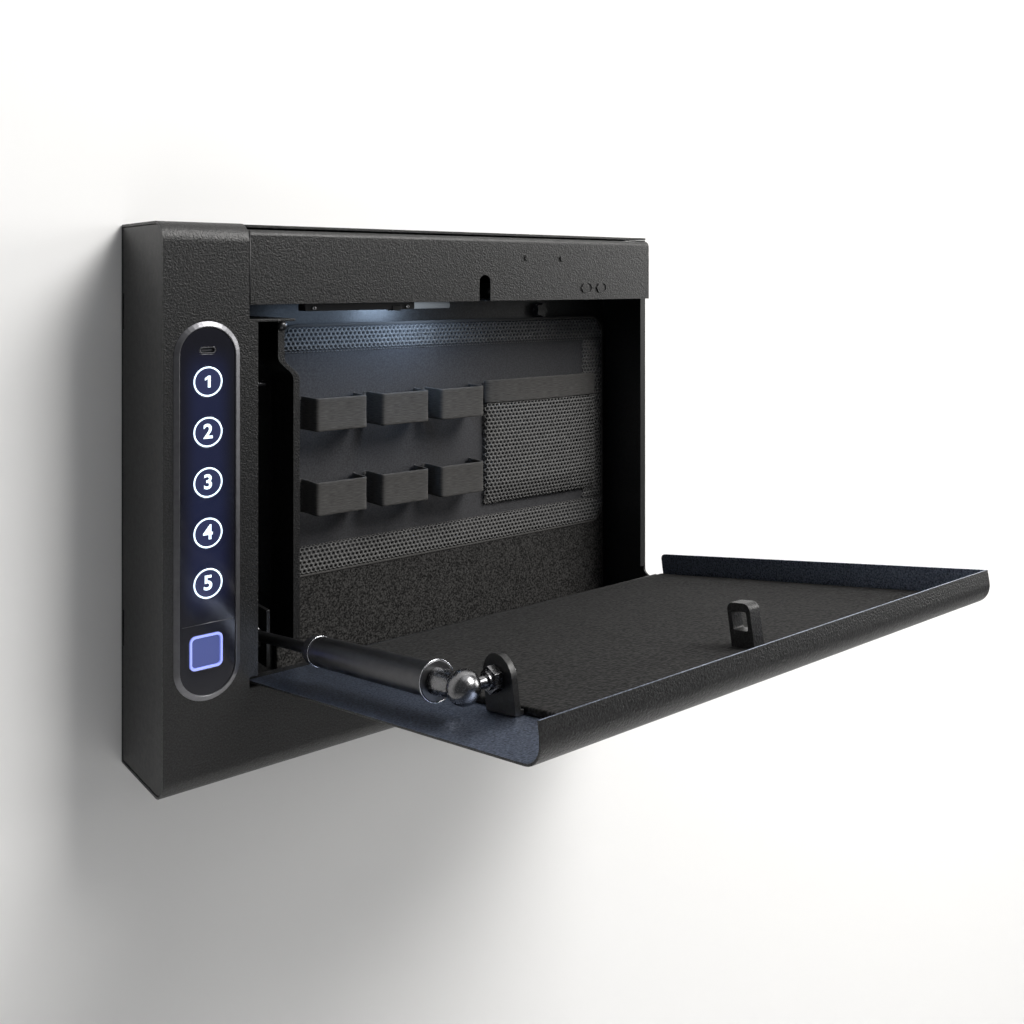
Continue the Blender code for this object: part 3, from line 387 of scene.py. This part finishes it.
def coat_door_outside():
    """The door's outside is the same coat as the case: its outer faces take a second material."""
    skin = frame["nodes"]["door_skin"]
    skin.data.materials.append(LOOKS["coat"].material)
    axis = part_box("hinge_pin")
    pivot = (axis[0] + axis[1]) / 2
    inside = (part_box("door_foam")[0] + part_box("door_foam")[1]) / 2 - pivot
    level = inside.dot(DOOR_UP)
    low_x, high_x = (corner.x - pivot.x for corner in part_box("door_skin"))
    for polygon in skin.data.polygons:
        place = polygon.center - pivot
        below = place.dot(DOOR_UP) < level and polygon.normal.dot(DOOR_UP) < -0.3
        front = polygon.normal.dot(DOOR_OUT) > 0.3 and place.dot(DOOR_OUT) > 260 * MM
        end = abs(polygon.normal.x) > 0.7 and min(place.x - low_x, high_x - place.x) < 0.2 * MM
        if below or front or end:
            polygon.material_index = 1


# Mesh helpers


def add_mesh(name, bm, look, body, smooth=True):
    """A new piece made from bm, in place in the frame, riding on a body."""
    mesh = bpy.data.meshes.new(name)
    bm.to_mesh(mesh)
    bm.free()
    for polygon in mesh.polygons:
        polygon.use_smooth = smooth
    piece = bpy.data.objects.new(name, mesh)
    bpy.context.scene.collection.objects.link(piece)
    mesh.materials.append(LOOKS[look].material)
    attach(piece, body)
    return piece


def surface(rows, columns, place, uv=None):
    """A bmesh grid whose point (i, j) of rows by columns is place(i / rows, j / columns)."""
    bm = bmesh.new()
    layer = bm.loops.layers.uv.new("weave")
    points = [
        [bm.verts.new(place(i / rows, j / columns)) for j in range(columns + 1)]
        for i in range(rows + 1)
    ]
    for i in range(rows):
        for j in range(columns):
            corners = ((i, j), (i, j + 1), (i + 1, j + 1), (i + 1, j))
            face = bm.faces.new([points[a][b] for a, b in corners])
            for loop, (a, b) in zip(face.loops, corners):
                loop[layer].uv = uv(a / rows, b / columns) if uv else (a, b)
    return bm


def thicken(piece, thickness, offset=0.0):
    made = piece.modifiers.new("thickness", "SOLIDIFY")
    made.thickness = thickness * MM
    made.offset = offset
    return piece


def soften(piece, levels=1):
    made = piece.modifiers.new("soften", "SUBSURF")
    made.levels = levels
    made.render_levels = levels
    return piece


def rounded_outline(left, bottom, right, top, radius, steps=8):
    """Points round a rectangle with rounded corners, as (x, z)."""
    points = []
    for x, z, start in (
        (right - radius, bottom + radius, -90),
        (right - radius, top - radius, 0),
        (left + radius, top - radius, 90),
        (left + radius, bottom + radius, 180),
    ):
        for k in range(steps + 1):
            angle = math.radians(start + 90 * k / steps)
            points.append((x + radius * math.cos(angle), z + radius * math.sin(angle)))
    return points


def tube_along(name, points, radius, look, body, closed=False, sides=8):
    """A round bar of that radius along points."""
    bm = bmesh.new()
    count = len(points)
    rings = []
    for k, point in enumerate(points):
        before = points[k - 1] if closed or k else point
        after = points[(k + 1) % count] if closed or k < count - 1 else point
        forward = (after - before).normalized()
        side = forward.cross(Vector((0, 1, 0)))
        if side.length < 0.1:
            side = forward.cross(Vector((0, 0, 1)))
        side.normalize()
        up = side.cross(forward)
        ring = []
        for s in range(sides):
            angle = 2 * math.pi * s / sides
            ring.append(bm.verts.new(point + (side * math.cos(angle) + up * math.sin(angle)) * radius * MM))
        rings.append(ring)
    for k in range(count if closed else count - 1):
        a, b = rings[k], rings[(k + 1) % count]
        for s in range(sides):
            bm.faces.new((a[s], a[(s + 1) % sides], b[(s + 1) % sides], b[s]))
    if not closed:
        bm.faces.new(rings[0])
        bm.faces.new(reversed(rings[-1]))
    bmesh.ops.recalc_face_normals(bm, faces=bm.faces)
    return add_mesh(name, bm, look, body)


def collar(name, centre, direction, radius, wire, look, body):
    """A ring of wire of that radius round a shaft."""
    side = direction.cross(Vector((1, 0, 0))).normalized()
    up = direction.cross(side)
    turn = [2 * math.pi * k / 48 for k in range(48)]
    points = [centre + (side * math.cos(a) + up * math.sin(a)) * radius * MM for a in turn]
    return tube_along(name, points, wire, look, body, closed=True, sides=10)


# Fabric


def loop_path(width, tab, depth, corner):
    """The elastic's run across the panel, as (x, y) from its left tab: out, along the front, back in."""
    front, back = -depth, 0.0
    path = [(-tab, back), (-tab * 0.4, back)]
    path += [(0.0, back - 1.2), (0.15, back - depth * 0.35), (0.2, back - depth * 0.7)]
    for k in range(5):
        angle = math.radians(180 + 90 * k / 4)
        path.append((corner + 0.2 + corner * math.cos(angle), front + corner + corner * math.sin(angle)))
    path += [(width * share, front + 0.25 * math.sin(math.pi * share)) for share in (0.25, 0.4, 0.6, 0.75)]
    for k in range(5):
        angle = math.radians(270 + 90 * k / 4)
        across = width - corner - 0.2 + corner * math.cos(angle)
        path.append((across, front + corner + corner * math.sin(angle)))
    path += [(width - 0.2, back - depth * 0.7), (width - 0.15, back - depth * 0.35), (width, back - 1.2)]
    path += [(width + tab * 0.4, back), (width + tab, back)]
    return path


def path_lengths(path):
    lengths = [0.0]
    for (x0, y0), (x1, y1) in zip(path, path[1:]):
        lengths.append(lengths[-1] + math.hypot(x1 - x0, y1 - y0))
    return lengths


def elastic_loop(name, seed):
    """One elastic loop: a stretched narrow band, sewn to the panel by a tab at each side."""
    low, high = millimetres(name)
    tab, thick = 3.0, 0.9
    width = high.x - low.x - 2 * tab
    depth = high.y - low.y - thick / 2 - 0.2
    path = loop_path(width, tab, depth, 2.2)
    lengths = path_lengths(path)
    height = high.z - low.z
    shift = Vector((0.0, 0.0, seed * 7.3))

    def place(along, up):
        k = round(along * (len(path) - 1))
        x, y = path[k]
        stood = min(1.0, -y / depth)
        waist = 0.35 * stood * math.sin(math.pi * up)
        ripple = 0.22 * stood * noise.noise(Vector((lengths[k] * 0.12, up * 2.0, 0.0)) + shift)
        edge = (up - 0.5) * (height - 0.5 * stood * abs(math.sin(lengths[k] * 0.21 + seed)))
        centre = (low.z + high.z) / 2
        return at(low.x + tab + x, high.y - thick / 2 - 0.1 + y + waist + ripple, centre + edge)

    bm = surface(len(path) - 1, 10, place, uv=lambda a, b: (lengths[round(a * (len(path) - 1))], b * height))
    piece = add_mesh(f"{name}_band", bm, "webbing", "case")
    thicken(piece, thick)
    soften(piece)
    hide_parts(name)
    tabs = [
        (low.x + tab / 2, high.y - thick - 0.12, low.z + 0.8, high.z - 0.8),
        (high.x - tab / 2, high.y - thick - 0.12, low.z + 0.8, high.z - 0.8),
    ]
    sewn = stitching(f"{name}_stitches", [((x, y, z0), (x, y, z1)) for x, y, z0, z1 in tabs])


def stitching(name, lines, pitch=2.3, length=1.6, radius=0.2):
    """Rows of short thread stitches along straight lines, given in millimetres, as one piece."""
    bm = bmesh.new()
    for start, end in lines:
        run = Vector(end) - Vector(start)
        count = max(1, int(run.length / pitch))
        direction = run.normalized()
        side = direction.cross(Vector((0, 1, 0))).normalized()
        for k in range(count):
            centre = Vector(start) + direction * (k + 0.5) * run.length / count
            rings = []
            for offset, size in ((-0.5, 0.35), (-0.32, 1.0), (0.32, 1.0), (0.5, 0.35)):
                middle = centre + direction * offset * length
                ring = []
                for s in range(6):
                    angle = math.radians(60 * s)
                    out = side * math.cos(angle) + Vector((0, 1, 0)) * math.sin(angle)
                    ring.append(bm.verts.new(at(*(middle + out * radius * size))))
                rings.append(ring)
            for a, b in zip(rings, rings[1:]):
                for s in range(6):
                    bm.faces.new((a[s], a[(s + 1) % 6], b[(s + 1) % 6], b[s]))
            bm.faces.new(rings[0])
            bm.faces.new(reversed(rings[-1]))
    bmesh.ops.recalc_face_normals(bm, faces=bm.faces)
    return add_mesh(name, bm, "thread", "case")


def net(name, left, bottom, right, top, depth_at, thick, look="net", keep=None):
    """A knitted net of round holes in staggered rows: a ring of strand round each, joined to its neighbours.
    depth_at(x, z) is the surface's Y, and keep(x, z) says whether a hole's ring belongs to the piece."""
    pitch, rise = NET_PITCH, NET_PITCH * math.sqrt(3) / 2
    cell = pitch / math.sqrt(3)
    bm = bmesh.new()
    made = {}

    def point(x, z):
        x, z = min(max(x, left), right), min(max(z, bottom), top)
        key = (round(x, 2), round(z, 2))
        if key not in made:
            made[key] = bm.verts.new(at(x, depth_at(x, z), z))
        return made[key]

    rows = int((top - bottom) / rise) + 1
    columns = int((right - left) / pitch) + 1
    for row in range(rows):
        for column in range(columns):
            x = left + pitch * (column + 0.5 * (row % 2))
            z = bottom + rise * row
            if not (left + 0.3 * pitch < x < right - 0.3 * pitch and bottom < z < top):
                continue
            if keep and not keep(x, z):
                continue
            outer, inner = [], []
            for k in range(12):
                angle = math.radians(30 * k + 30)
                reach = cell if k % 2 == 0 else cell * math.cos(math.radians(30))
                outer.append(point(x + reach * math.cos(angle), z + reach * math.sin(angle)))
                open_x, open_z = NET_STRAND * pitch / 2, NET_STRAND * pitch / 2 * 0.92
                inner.append(bm.verts.new(at(
                    x + open_x * math.cos(angle), depth_at(x, z) + 0.25, z + open_z * math.sin(angle)
                )))
            for k in range(12):
                corners = (outer[k], outer[(k + 1) % 12], inner[(k + 1) % 12], inner[k])
                if len(set(corners)) == 4:
                    try:
                        bm.faces.new(corners)
                    except ValueError:
                        continue
    bmesh.ops.recalc_face_normals(bm, faces=bm.faces)
    area = sum(face.calc_area() for face in bm.faces)
    piece = add_mesh(name, bm, look, "case")
    thicken(piece, thick)
    return piece, area


def organiser():
    """The sewn panel: fine nylon between bands of coarse mesh, bound round its edge."""
    low, high = millimetres("organiser_panel")
    front, back = low.y, high.y
    band_top, band_bottom, border, corner = 19.0, 21.0, 24.0, 14.0
    width, height = high.x - low.x, high.z - low.z

    def inside(x, z, margin=0.0):
        """Whether a point is on the panel, whose corners are rounded."""
        across = max(low.x + corner - x, x - high.x + corner, 0.0)
        upright = max(low.z + corner - z, z - high.z + corner, 0.0)
        return math.hypot(across, upright) <= corner - margin

    def place(a, b):
        x, z = low.x + 0.6 + (width - 1.2) * a, low.z + 0.6 + (height - 1.2) * b
        across, upright = min(x - low.x, high.x - x), min(z - low.z, high.z - z)
        if across < corner and upright < corner:
            out_x, out_z = corner - across, corner - upright
            reach = math.hypot(out_x, out_z)
            squeeze = min(1.0, (corner - 0.8) / reach) if reach else 1.0
            x += math.copysign(out_x * (1 - squeeze), low.x + width / 2 - x)
            z += math.copysign(out_z * (1 - squeeze), low.z + height / 2 - z)
        inner = min(a, 1 - a, b, 1 - b)
        swell = min(1.0, inner * 9.0)
        wave = 0.3 * noise.noise(Vector((x * 0.03, z * 0.035, 3.0)))
        return at(x, front + 1.5 - 0.35 * swell + wave, z)

    bm = surface(60, 36, place, uv=lambda a, b: (a * width, b * height))
    cloth = add_mesh("organiser_cloth", bm, "nylon", "case")
    thicken(cloth, 1.2)
    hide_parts("organiser_panel")

    face = front + 0.55
    for name, box in (
        ("organiser_mesh_top", (low.x + 1, high.z - band_top, high.x - 1, high.z - 1)),
        ("organiser_mesh_bottom", (low.x + 1, low.z + 1, high.x - 1, low.z + band_bottom)),
        ("organiser_mesh_right", (high.x - border, low.z + band_bottom, high.x - 1, high.z - band_top)),
    ):
        piece, area = net(name, *box, lambda x, z: face - 0.35, 0.7, keep=lambda x, z: inside(x, z, 2.2))

    outline = rounded_outline(low.x + 0.9, low.z + 0.9, high.x - 0.9, high.z - 0.9, corner - 0.9)
    points = [at(x, (front + back) / 2 - 0.15, z) for x, z in outline]
    binding = tube_along(
        "organiser_binding", points, 1.15, "webbing", "case", closed=True, sides=10,
    )
    seams = [
        ((low.x + 3, face - 0.5, z), (high.x - 3, face - 0.5, z))
        for z in (high.z - band_top, low.z + band_bottom)
    ]
    sewn = stitching("organiser_stitches", seams)


def pocket():
    """The net pocket at the right, with an elastic band along its mouth."""
    low, high = millimetres("mesh_pocket")
    width, height = high.x - low.x, high.z - low.z
    bulge = high.y - low.y - 1.2

    def depth_at(x, z):
        a, b = (x - low.x) / width, (z - low.z) / height
        sides = math.sin(math.pi * min(max(a, 0.0), 1.0)) ** 0.35
        foot = min(1.0, max(b, 0.0) * 5.0) ** 0.6
        ripple = 0.25 * noise.noise(Vector((x * 0.05, z * 0.05, 9.0)))
        return high.y - 0.6 - bulge * sides * foot + ripple * sides * foot

    piece, area = net("pocket_net", low.x, low.z, high.x, high.z, depth_at, 0.75)
    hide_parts("mesh_pocket")
    seams = [
        ((low.x + 0.8, high.y - 1.1, low.z), (low.x + 0.8, high.y - 1.1, high.z)),
        ((high.x - 0.8, high.y - 1.1, low.z), (high.x - 0.8, high.y - 1.1, high.z)),
        ((low.x, high.y - 1.1, low.z + 0.8), (high.x, high.y - 1.1, low.z + 0.8)),
    ]
    sewn = stitching("pocket_stitches", seams)
    pocket_band()


def pocket_band():
    low, high = millimetres("pocket_band")
    width, height = high.x - low.x, high.z - low.z
    thick = 0.9
    bulge = high.y - low.y - thick

    def place(a, b):
        rounded = math.sin(math.pi * a) ** 0.28 if 0 < a < 1 else 0.0
        sag = 0.35 * math.sin(math.pi * a) * (b - 0.5)
        ripple = 0.2 * noise.noise(Vector((a * 6.0, b * 1.5, 5.0))) * rounded
        y = high.y - thick / 2 - bulge * rounded + ripple + 0.25 * math.sin(math.pi * b) * rounded
        return at(low.x + width * a, y, low.z + 0.3 + (height - 0.6) * b + sag)

    length = width + 1.2 * bulge
    bm = surface(48, 10, place, uv=lambda a, b: (a * length, b * height))
    piece = add_mesh("pocket_band_elastic", bm, "webbing", "case")
    thicken(piece, thick)
    soften(piece)
    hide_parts("pocket_band")


# Foam


def foam_slab(name, node, body, look, origin, right, along, up, length_along, width, thick, radius=1.2):
    """A foam liner: a slab with a softly rounded rim and a slightly uneven face, in the given directions."""
    rows, columns = max(12, int(width / 4)), max(12, int(length_along / 4))

    def height_at(x, z):
        rim = min(x, width - x, z, length_along - z)
        drop = 0.0 if rim >= radius else radius - math.sqrt(max(0.0, radius**2 - (radius - rim) ** 2))
        return thick - drop + 0.10 * noise.noise(Vector((x * 0.09, z * 0.09, thick)))

    def stops(count, size):
        inner = [radius * share for share in (0.0, 0.15, 0.5, 1.0)]
        middle = [radius + (size - 2 * radius) * k / count for k in range(1, count)]
        return inner + middle + [size - value for value in reversed(inner)]

    xs, zs = stops(rows, width), stops(columns, length_along)
    bm = bmesh.new()

    def grid(level):
        return [
            [bm.verts.new(origin + (right * x + along * z + up * level(x, z)) * MM) for z in zs]
            for x in xs
        ]

    top, bottom = grid(height_at), grid(lambda x, z: 0.05)
    last_x, last_z = len(xs) - 1, len(zs) - 1
    for i in range(last_x):
        for j in range(last_z):
            bm.faces.new((top[i][j], top[i + 1][j], top[i + 1][j + 1], top[i][j + 1]))
            bm.faces.new((bottom[i][j], bottom[i][j + 1], bottom[i + 1][j + 1], bottom[i + 1][j]))
    for i in range(last_x):
        for j, turn in ((0, 1), (last_z, -1)):
            corners = (top[i][j], bottom[i][j], bottom[i + 1][j], top[i + 1][j])
            bm.faces.new(corners[::turn])
    for j in range(last_z):
        for i, turn in ((0, -1), (last_x, 1)):
            corners = (top[i][j], bottom[i][j], bottom[i][j + 1], top[i][j + 1])
            bm.faces.new(corners[::turn])
    bmesh.ops.recalc_face_normals(bm, faces=bm.faces)
    piece = add_mesh(name, bm, look, body)
    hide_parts(node)
    return piece


def back_foam():
    low, high = millimetres("back_foam")
    origin = at(low.x, high.y, low.z)
    panel_low = millimetres("organiser_panel")[0]
    visible = panel_low.z - low.z + 12.0
    foam_slab(
        "back_foam_pad", "back_foam", "case", "foam", origin,
        Vector((1, 0, 0)), Vector((0, 0, 1)), Vector((0, -1, 0)),
        visible, high.x - low.x, high.y - low.y,
    )


def door_foam():
    nodes = frame["nodes"]["door_foam"].data.vertices
    pin_low, pin_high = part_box("hinge_pin")
    pivot = (pin_low + pin_high) / 2
    xs = [v.co.x for v in nodes]
    out = [(v.co - pivot).dot(DOOR_OUT) for v in nodes]
    rise = [(v.co - pivot).dot(DOOR_UP) for v in nodes]
    origin = Vector((min(xs), pivot.y, pivot.z)) + DOOR_OUT * min(out) + DOOR_UP * min(rise)
    # The door foam's darker look is painted shade, not a different or worn foam.
    foam_slab(
        "door_foam_pad", "door_foam", "door", "foam_painted_shade", origin, Vector((1, 0, 0)), DOOR_OUT, DOOR_UP,
        (max(out) - min(out)) / MM, (max(xs) - min(xs)) / MM, (max(rise) - min(rise)) / MM,
    )


# Keypad, header and strut details


def ring_mesh(centre, outer, inner, thick, steps=64):
    """A flat ring facing -Y with a slight crown, its back on centre."""
    bm = bmesh.new()
    loops = []
    for radius, out in ((outer, 0.0), (outer - 0.12, thick), (inner + 0.12, thick), (inner, 0.0)):
        loops.append([
            bm.verts.new(at(
                centre.x + radius * math.cos(2 * math.pi * k / steps),
                centre.y - out,
                centre.z + radius * math.sin(2 * math.pi * k / steps),
            ))
            for k in range(steps)
        ])
    for a, b in zip(loops, loops[1:] + loops[:1]):
        for k in range(steps):
            bm.faces.new((a[k], a[(k + 1) % steps], b[(k + 1) % steps], b[k]))
    bmesh.ops.recalc_face_normals(bm, faces=bm.faces)
    return bm


def digit(name, text, centre, height, body):
    """A bold figure on a key, standing 0.05 mm proud."""
    curve = bpy.data.curves.new(name, "FONT")
    curve.body = text
    curve.align_x = "CENTER"
    curve.align_y = "CENTER"
    curve.size = height * 1.42 * MM
    curve.offset = 0.24 * MM
    curve.extrude = 0.05 * MM
    shape = bpy.data.objects.new(name + "_text", curve)
    bpy.context.scene.collection.objects.link(shape)
    shape.matrix_world = Matrix.Translation(centre) @ Matrix.Rotation(math.pi / 2, 4, "X")
    bpy.context.view_layer.update()
    mesh = bpy.data.meshes.new_from_object(shape.evaluated_get(bpy.context.evaluated_depsgraph_get()))
    mesh.transform(shape.matrix_world)
    bpy.data.objects.remove(shape)
    mesh.materials.clear()
    mesh.materials.append(LOOKS["lit"].material)
    piece = bpy.data.objects.new(name, mesh)
    bpy.context.scene.collection.objects.link(piece)
    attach(piece, body)


def figure_one(name, face, body):
    """A bold 1 with a slanted flag, which the built-in font draws as a plain bar."""
    outline = (
        (-0.1, -3.4), (1.5, -3.4), (1.5, 3.4), (0.1, 3.4), (-1.9, 2.0), (-1.9, 0.7), (-0.1, 1.6),
    )
    bm = bmesh.new()
    front, back = (
        [bm.verts.new(at(face.x + x, face.y - out, face.z + z)) for x, z in outline]
        for out in (0.1, 0.0)
    )
    bm.faces.new(front)
    bm.faces.new(reversed(back))
    for k in range(len(outline)):
        j = (k + 1) % len(outline)
        bm.faces.new((front[k], back[k], back[j], front[j]))
    bmesh.ops.recalc_face_normals(bm, faces=bm.faces)
    add_mesh(name, bm, "lit", body, smooth=False)


def pill(x0, z0, x1, z1, inset, steps=20):
    """A pill-shaped outline inset from its box, as (x, z)."""
    radius = (x1 - x0) / 2 - inset
    middle = (x0 + x1) / 2
    points = []
    for centre_z, start in ((z1 - (x1 - x0) / 2, 0), (z0 + (x1 - x0) / 2, 180)):
        for k in range(steps + 1):
            angle = math.radians(start + 180 * k / steps)
            points.append((middle + radius * math.cos(angle), centre_z + radius * math.sin(angle)))
    return points


def bezel():
    """The keypad's rim: it rises in a shallow slope from the column to a narrow lip round the glass."""
    low, high = millimetres("keypad_bezel")
    rim = millimetres("keypad_panel")[0].x - low.x - 0.1
    column = 0.0
    profile = (
        (0.0, column + 1.0), (0.0, column - 0.15), (0.35, column - 0.35), (rim - 0.75, low.y + 0.1),
        (rim - 0.35, low.y), (rim - 0.05, low.y + 0.2), (rim, low.y + 1.4),
    )
    bm = bmesh.new()
    loops = [
        [bm.verts.new(at(x, y, z)) for x, z in pill(low.x, low.z, high.x, high.z, inset)]
        for inset, y in profile
    ]
    count = len(loops[0])
    for a, b in zip(loops, loops[1:] + loops[:1]):
        for k in range(count):
            bm.faces.new((a[k], a[(k + 1) % count], b[(k + 1) % count], b[k]))
    bmesh.ops.recalc_face_normals(bm, faces=bm.faces)
    piece = add_mesh("keypad_rim", bm, "bezel", "case", smooth=False)
    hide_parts("keypad_bezel")
    made = piece.modifiers.new("soft_edges", "BEVEL")
    made.width = 0.12 * MM
    made.segments = 2
    made.limit_method = "ANGLE"
    made.angle_limit = math.radians(20)


def keys():
    for number in range(1, 6):
        low, high = millimetres(f"key_{number}")
        centre = (low + high) / 2
        body = f"key_{number}_button"
        face = Vector((centre.x, low.y, centre.z))
        radius = (high.x - low.x) / 2
        bm = ring_mesh(face, radius, radius - 0.95, 0.06)
        add_mesh(f"key_{number}_ring", bm, "lit", body)
        name = f"key_{number}_digit"
        if number == 1:
            figure_one(name, face, body)
        else:
            digit(name, str(number), at(face.x, face.y - 0.05, face.z), 8.2, body)


def header_details():
    """A dark rod painted as the shadowed seam between the header and the column, and four pressed plugs: two
    round, two six-sided.
    """
    low, high = millimetres("header_channel")
    top_row, low_row = high.z - 14.8, low.z + 8.9
    plugs = (
        ("header_plug_1", high.x - 127.3, top_row, 2.2, 24),
        ("header_plug_2", high.x - 93.3, top_row, 2.2, 24),
        ("header_plug_3", high.x - 69.9, low_row, 4.0, 6),
        ("header_plug_4", high.x - 54.1, low_row, 4.0, 6),
    )
    # Painted shadow: a thin dark rod on the header's face, where the real seam by the column's edge lies in
    # shade.
    seam = [at(high.x - HEADER_SEAM_SHADOW, low.y - 0.02, z) for z in (low.z + 0.4, high.z - 0.4)]
    tube_along("header_seam_shadow", seam, 0.45, "plastic", "case")
    for name, x, z, radius, sides in plugs:
        bm = bmesh.new()
        loops = []
        for size, out in ((1.0, 0.0), (1.0, 0.75), (0.94, 0.85), (0.45, 0.87)):
            loops.append([
                bm.verts.new(at(
                    x + radius * size * math.cos(2 * math.pi * k / sides),
                    low.y - out,
                    z + radius * size * math.sin(2 * math.pi * k / sides),
                ))
                for k in range(sides)
            ])
        for a, b in zip(loops, loops[1:]):
            for k in range(sides):
                bm.faces.new((a[k], a[(k + 1) % sides], b[(k + 1) % sides], b[k]))
        bm.faces.new(loops[-1])
        bm.faces.new(reversed(loops[0]))
        bmesh.ops.recalc_face_normals(bm, faces=bm.faces)
        add_mesh(name, bm, "coat", "case", smooth=False)


def strut_rings():
    """The bright snap rings at the two ends of the strut's tube."""
    low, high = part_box("strut_tube")
    for name, travel, radius in STRUT_RINGS:
        middle = BALL_CENTRE + STRUT_DIRECTION * travel * MM
        middle.x = (low.x + high.x) / 2
        collar(name, middle, STRUT_DIRECTION, radius, 0.28, "ring", "strut_barrel")


def panel_seam():
    """The hairline between the keypad's glass and the reader's field."""
    low, high = millimetres("keypad_panel")
    z = millimetres("fingerprint_frame")[1].z + SENSOR_TO_SEAM
    points = [at(x, low.y - 0.02, z) for x in (low.x + 1.2, high.x - 1.2)]
    tube_along("panel_seam", points, 0.16, "bezel", "case")


def led_details():
    """The screws near the light bar's two ends."""
    low, high = millimetres("led_bar")
    from_end = 6
    for k in range(2):
        x = low.x + from_end + (high.x - low.x - 2 * from_end) * k
        centre = Vector((x, low.y, (low.z + high.z) / 2))
        bm = ring_mesh(centre, 1.3, 0.5, 0.25, steps=20)
        add_mesh(f"led_bar_screw_{k + 1}", bm, "steel", "case")


# Stage


def plane(name, corners, look):
    bm = bmesh.new()
    bm.faces.new([bm.verts.new(c) for c in corners])
    mesh = bpy.data.meshes.new(name)
    bm.to_mesh(mesh)
    bm.free()
    made = bpy.data.objects.new(name, mesh)
    bpy.context.scene.collection.objects.link(made)
    mesh.materials.append(look.material)
    return made


def wall_look():
    """Pale paint on the side the safe hangs on, and clear from behind, so that the back can be seen."""
    look = Look("wall_paint", (0.80, 0.80, 0.80), 0.9, specular=0.1)
    look.relief(look.noise(90, detail=4.0), 0.05, 0.2)
    clear = look.node("ShaderNodeBsdfTransparent")
    facing = look.node("ShaderNodeNewGeometry")
    choice = look.node("ShaderNodeMixShader")
    output = look.tree.nodes["Material Output"]
    look.link(facing.outputs["Backfacing"], choice.inputs[0])
    look.link(look.shader.outputs[0], choice.inputs[1])
    look.link(clear.outputs[0], choice.inputs[2])
    look.link(choice.outputs[0], output.inputs["Surface"])
    return look


def area_light(name, place, target, size, power, colour):
    data = bpy.data.lights.new(name, "AREA")
    data.shape = "RECTANGLE"
    data.size, data.size_y = size
    data.energy = power
    data.color = colour
    light = bpy.data.objects.new(name, data)
    bpy.context.scene.collection.objects.link(light)
    light.location = place
    light.rotation_euler = (Vector(target) - Vector(place)).to_track_quat("-Z", "Y").to_euler()
    return light


def stage():
    reach, floor_level, gap = 4.0, -1.15, 0.6 * MM
    low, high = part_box("back_plate")
    inset = 6.0 * MM
    columns = (-reach, low.x + inset, high.x - inset, reach)
    rows = (floor_level, low.z + inset, high.z - inset, reach)
    look = wall_look()
    for i in range(3):
        for j in range(3):
            if (i, j) != (1, 1):
                x0, x1, z0, z1 = columns[i], columns[i + 1], rows[j], rows[j + 1]
                corners = ((x0, gap, z0), (x1, gap, z0), (x1, gap, z1), (x0, gap, z1))
                plane(f"wall_{i}_{j}", corners, look)
    floor = Look("pale_floor", (0.8, 0.8, 0.8), 0.8)
    floor.relief(floor.noise(40), 0.1, 0.2)
    plane(
        "floor",
        ((-reach, -reach, floor_level), (reach, -reach, floor_level), (reach, reach, floor_level),
         (-reach, reach, floor_level)),
        floor,
    )


def lights():
    world = bpy.data.worlds.new("studio")
    bpy.context.scene.world = world
    world.use_nodes = True
    sky = world.node_tree.nodes["Background"]
    sky.inputs["Color"].default_value = (0.93, 0.96, 1.0, 1.0)
    sky.inputs["Strength"].default_value = 0.13
    area_light("key", (0.83, -1.37, 1.5), (0.0, -0.05, 0.0), (1.1, 1.1), 68.0, KEY_LIGHT)
    area_light("side", (1.9, -0.95, 0.45), (0.1, -0.05, 0.1), (0.9, 0.9), 19.0, KEY_LIGHT)
    area_light("top", (0.1, -0.5, 1.6), (0.0, -0.1, 0.1), (1.4, 0.7), 4.0, (1.0, 1.0, 1.0))
    area_light("behind", (-0.9, 2.0, 0.9), (0.0, 0.0, 0.0), (1.2, 1.2), 60.0, (1.0, 1.0, 1.0))
    lens_low, lens_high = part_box("led_lens")
    under = (lens_low + lens_high) / 2
    under.z = lens_low.z - 1.0 * MM
    area_light("led", under, under + Vector((0.0, 0.07, -0.045)), (0.03, 0.006), 0.078, LED_TINT)
    bar_low, bar_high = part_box("led_bar")
    below = (bar_low + bar_high) / 2
    below.z = bar_low.z - 1.0 * MM
    area_light("led_strip", below, below + Vector((0.0, 0.02, -0.06)), (0.06, 0.006), 0.03, LED_TINT)


def camera():
    """The photo's viewpoint, as solved from the case's straight edges."""
    data = bpy.data.cameras.new("camera")
    data.sensor_width = 36.0
    data.lens = 37.26
    data.shift_y = -0.2269
    data.clip_start = 0.01
    made = bpy.data.objects.new("camera", data)
    bpy.context.scene.collection.objects.link(made)
    made.location = (-0.4185, -0.6592, 0.1313)
    made.rotation_euler = (math.radians(90), 0.0, math.radians(-38.37))
    bpy.context.scene.camera = made


def dress_nodes():
    for look, names in NODE_LOOKS.items():
        for name in names:
            dress_node(name, LOOKS[look])
    coat_door_outside()


def main():
    bpy.context.scene.view_settings.view_transform = "Standard"
    camera()
    dress_nodes()
    back_foam()
    door_foam()
    organiser()
    pocket()
    for number in range(1, 4):
        elastic_loop(f"elastic_loop_{number}_upper", number)
        elastic_loop(f"elastic_loop_{number}_lower", number + 3)
    bezel()
    keys()
    panel_seam()
    header_details()
    strut_rings()
    led_details()
    stage()
    lights()


main()
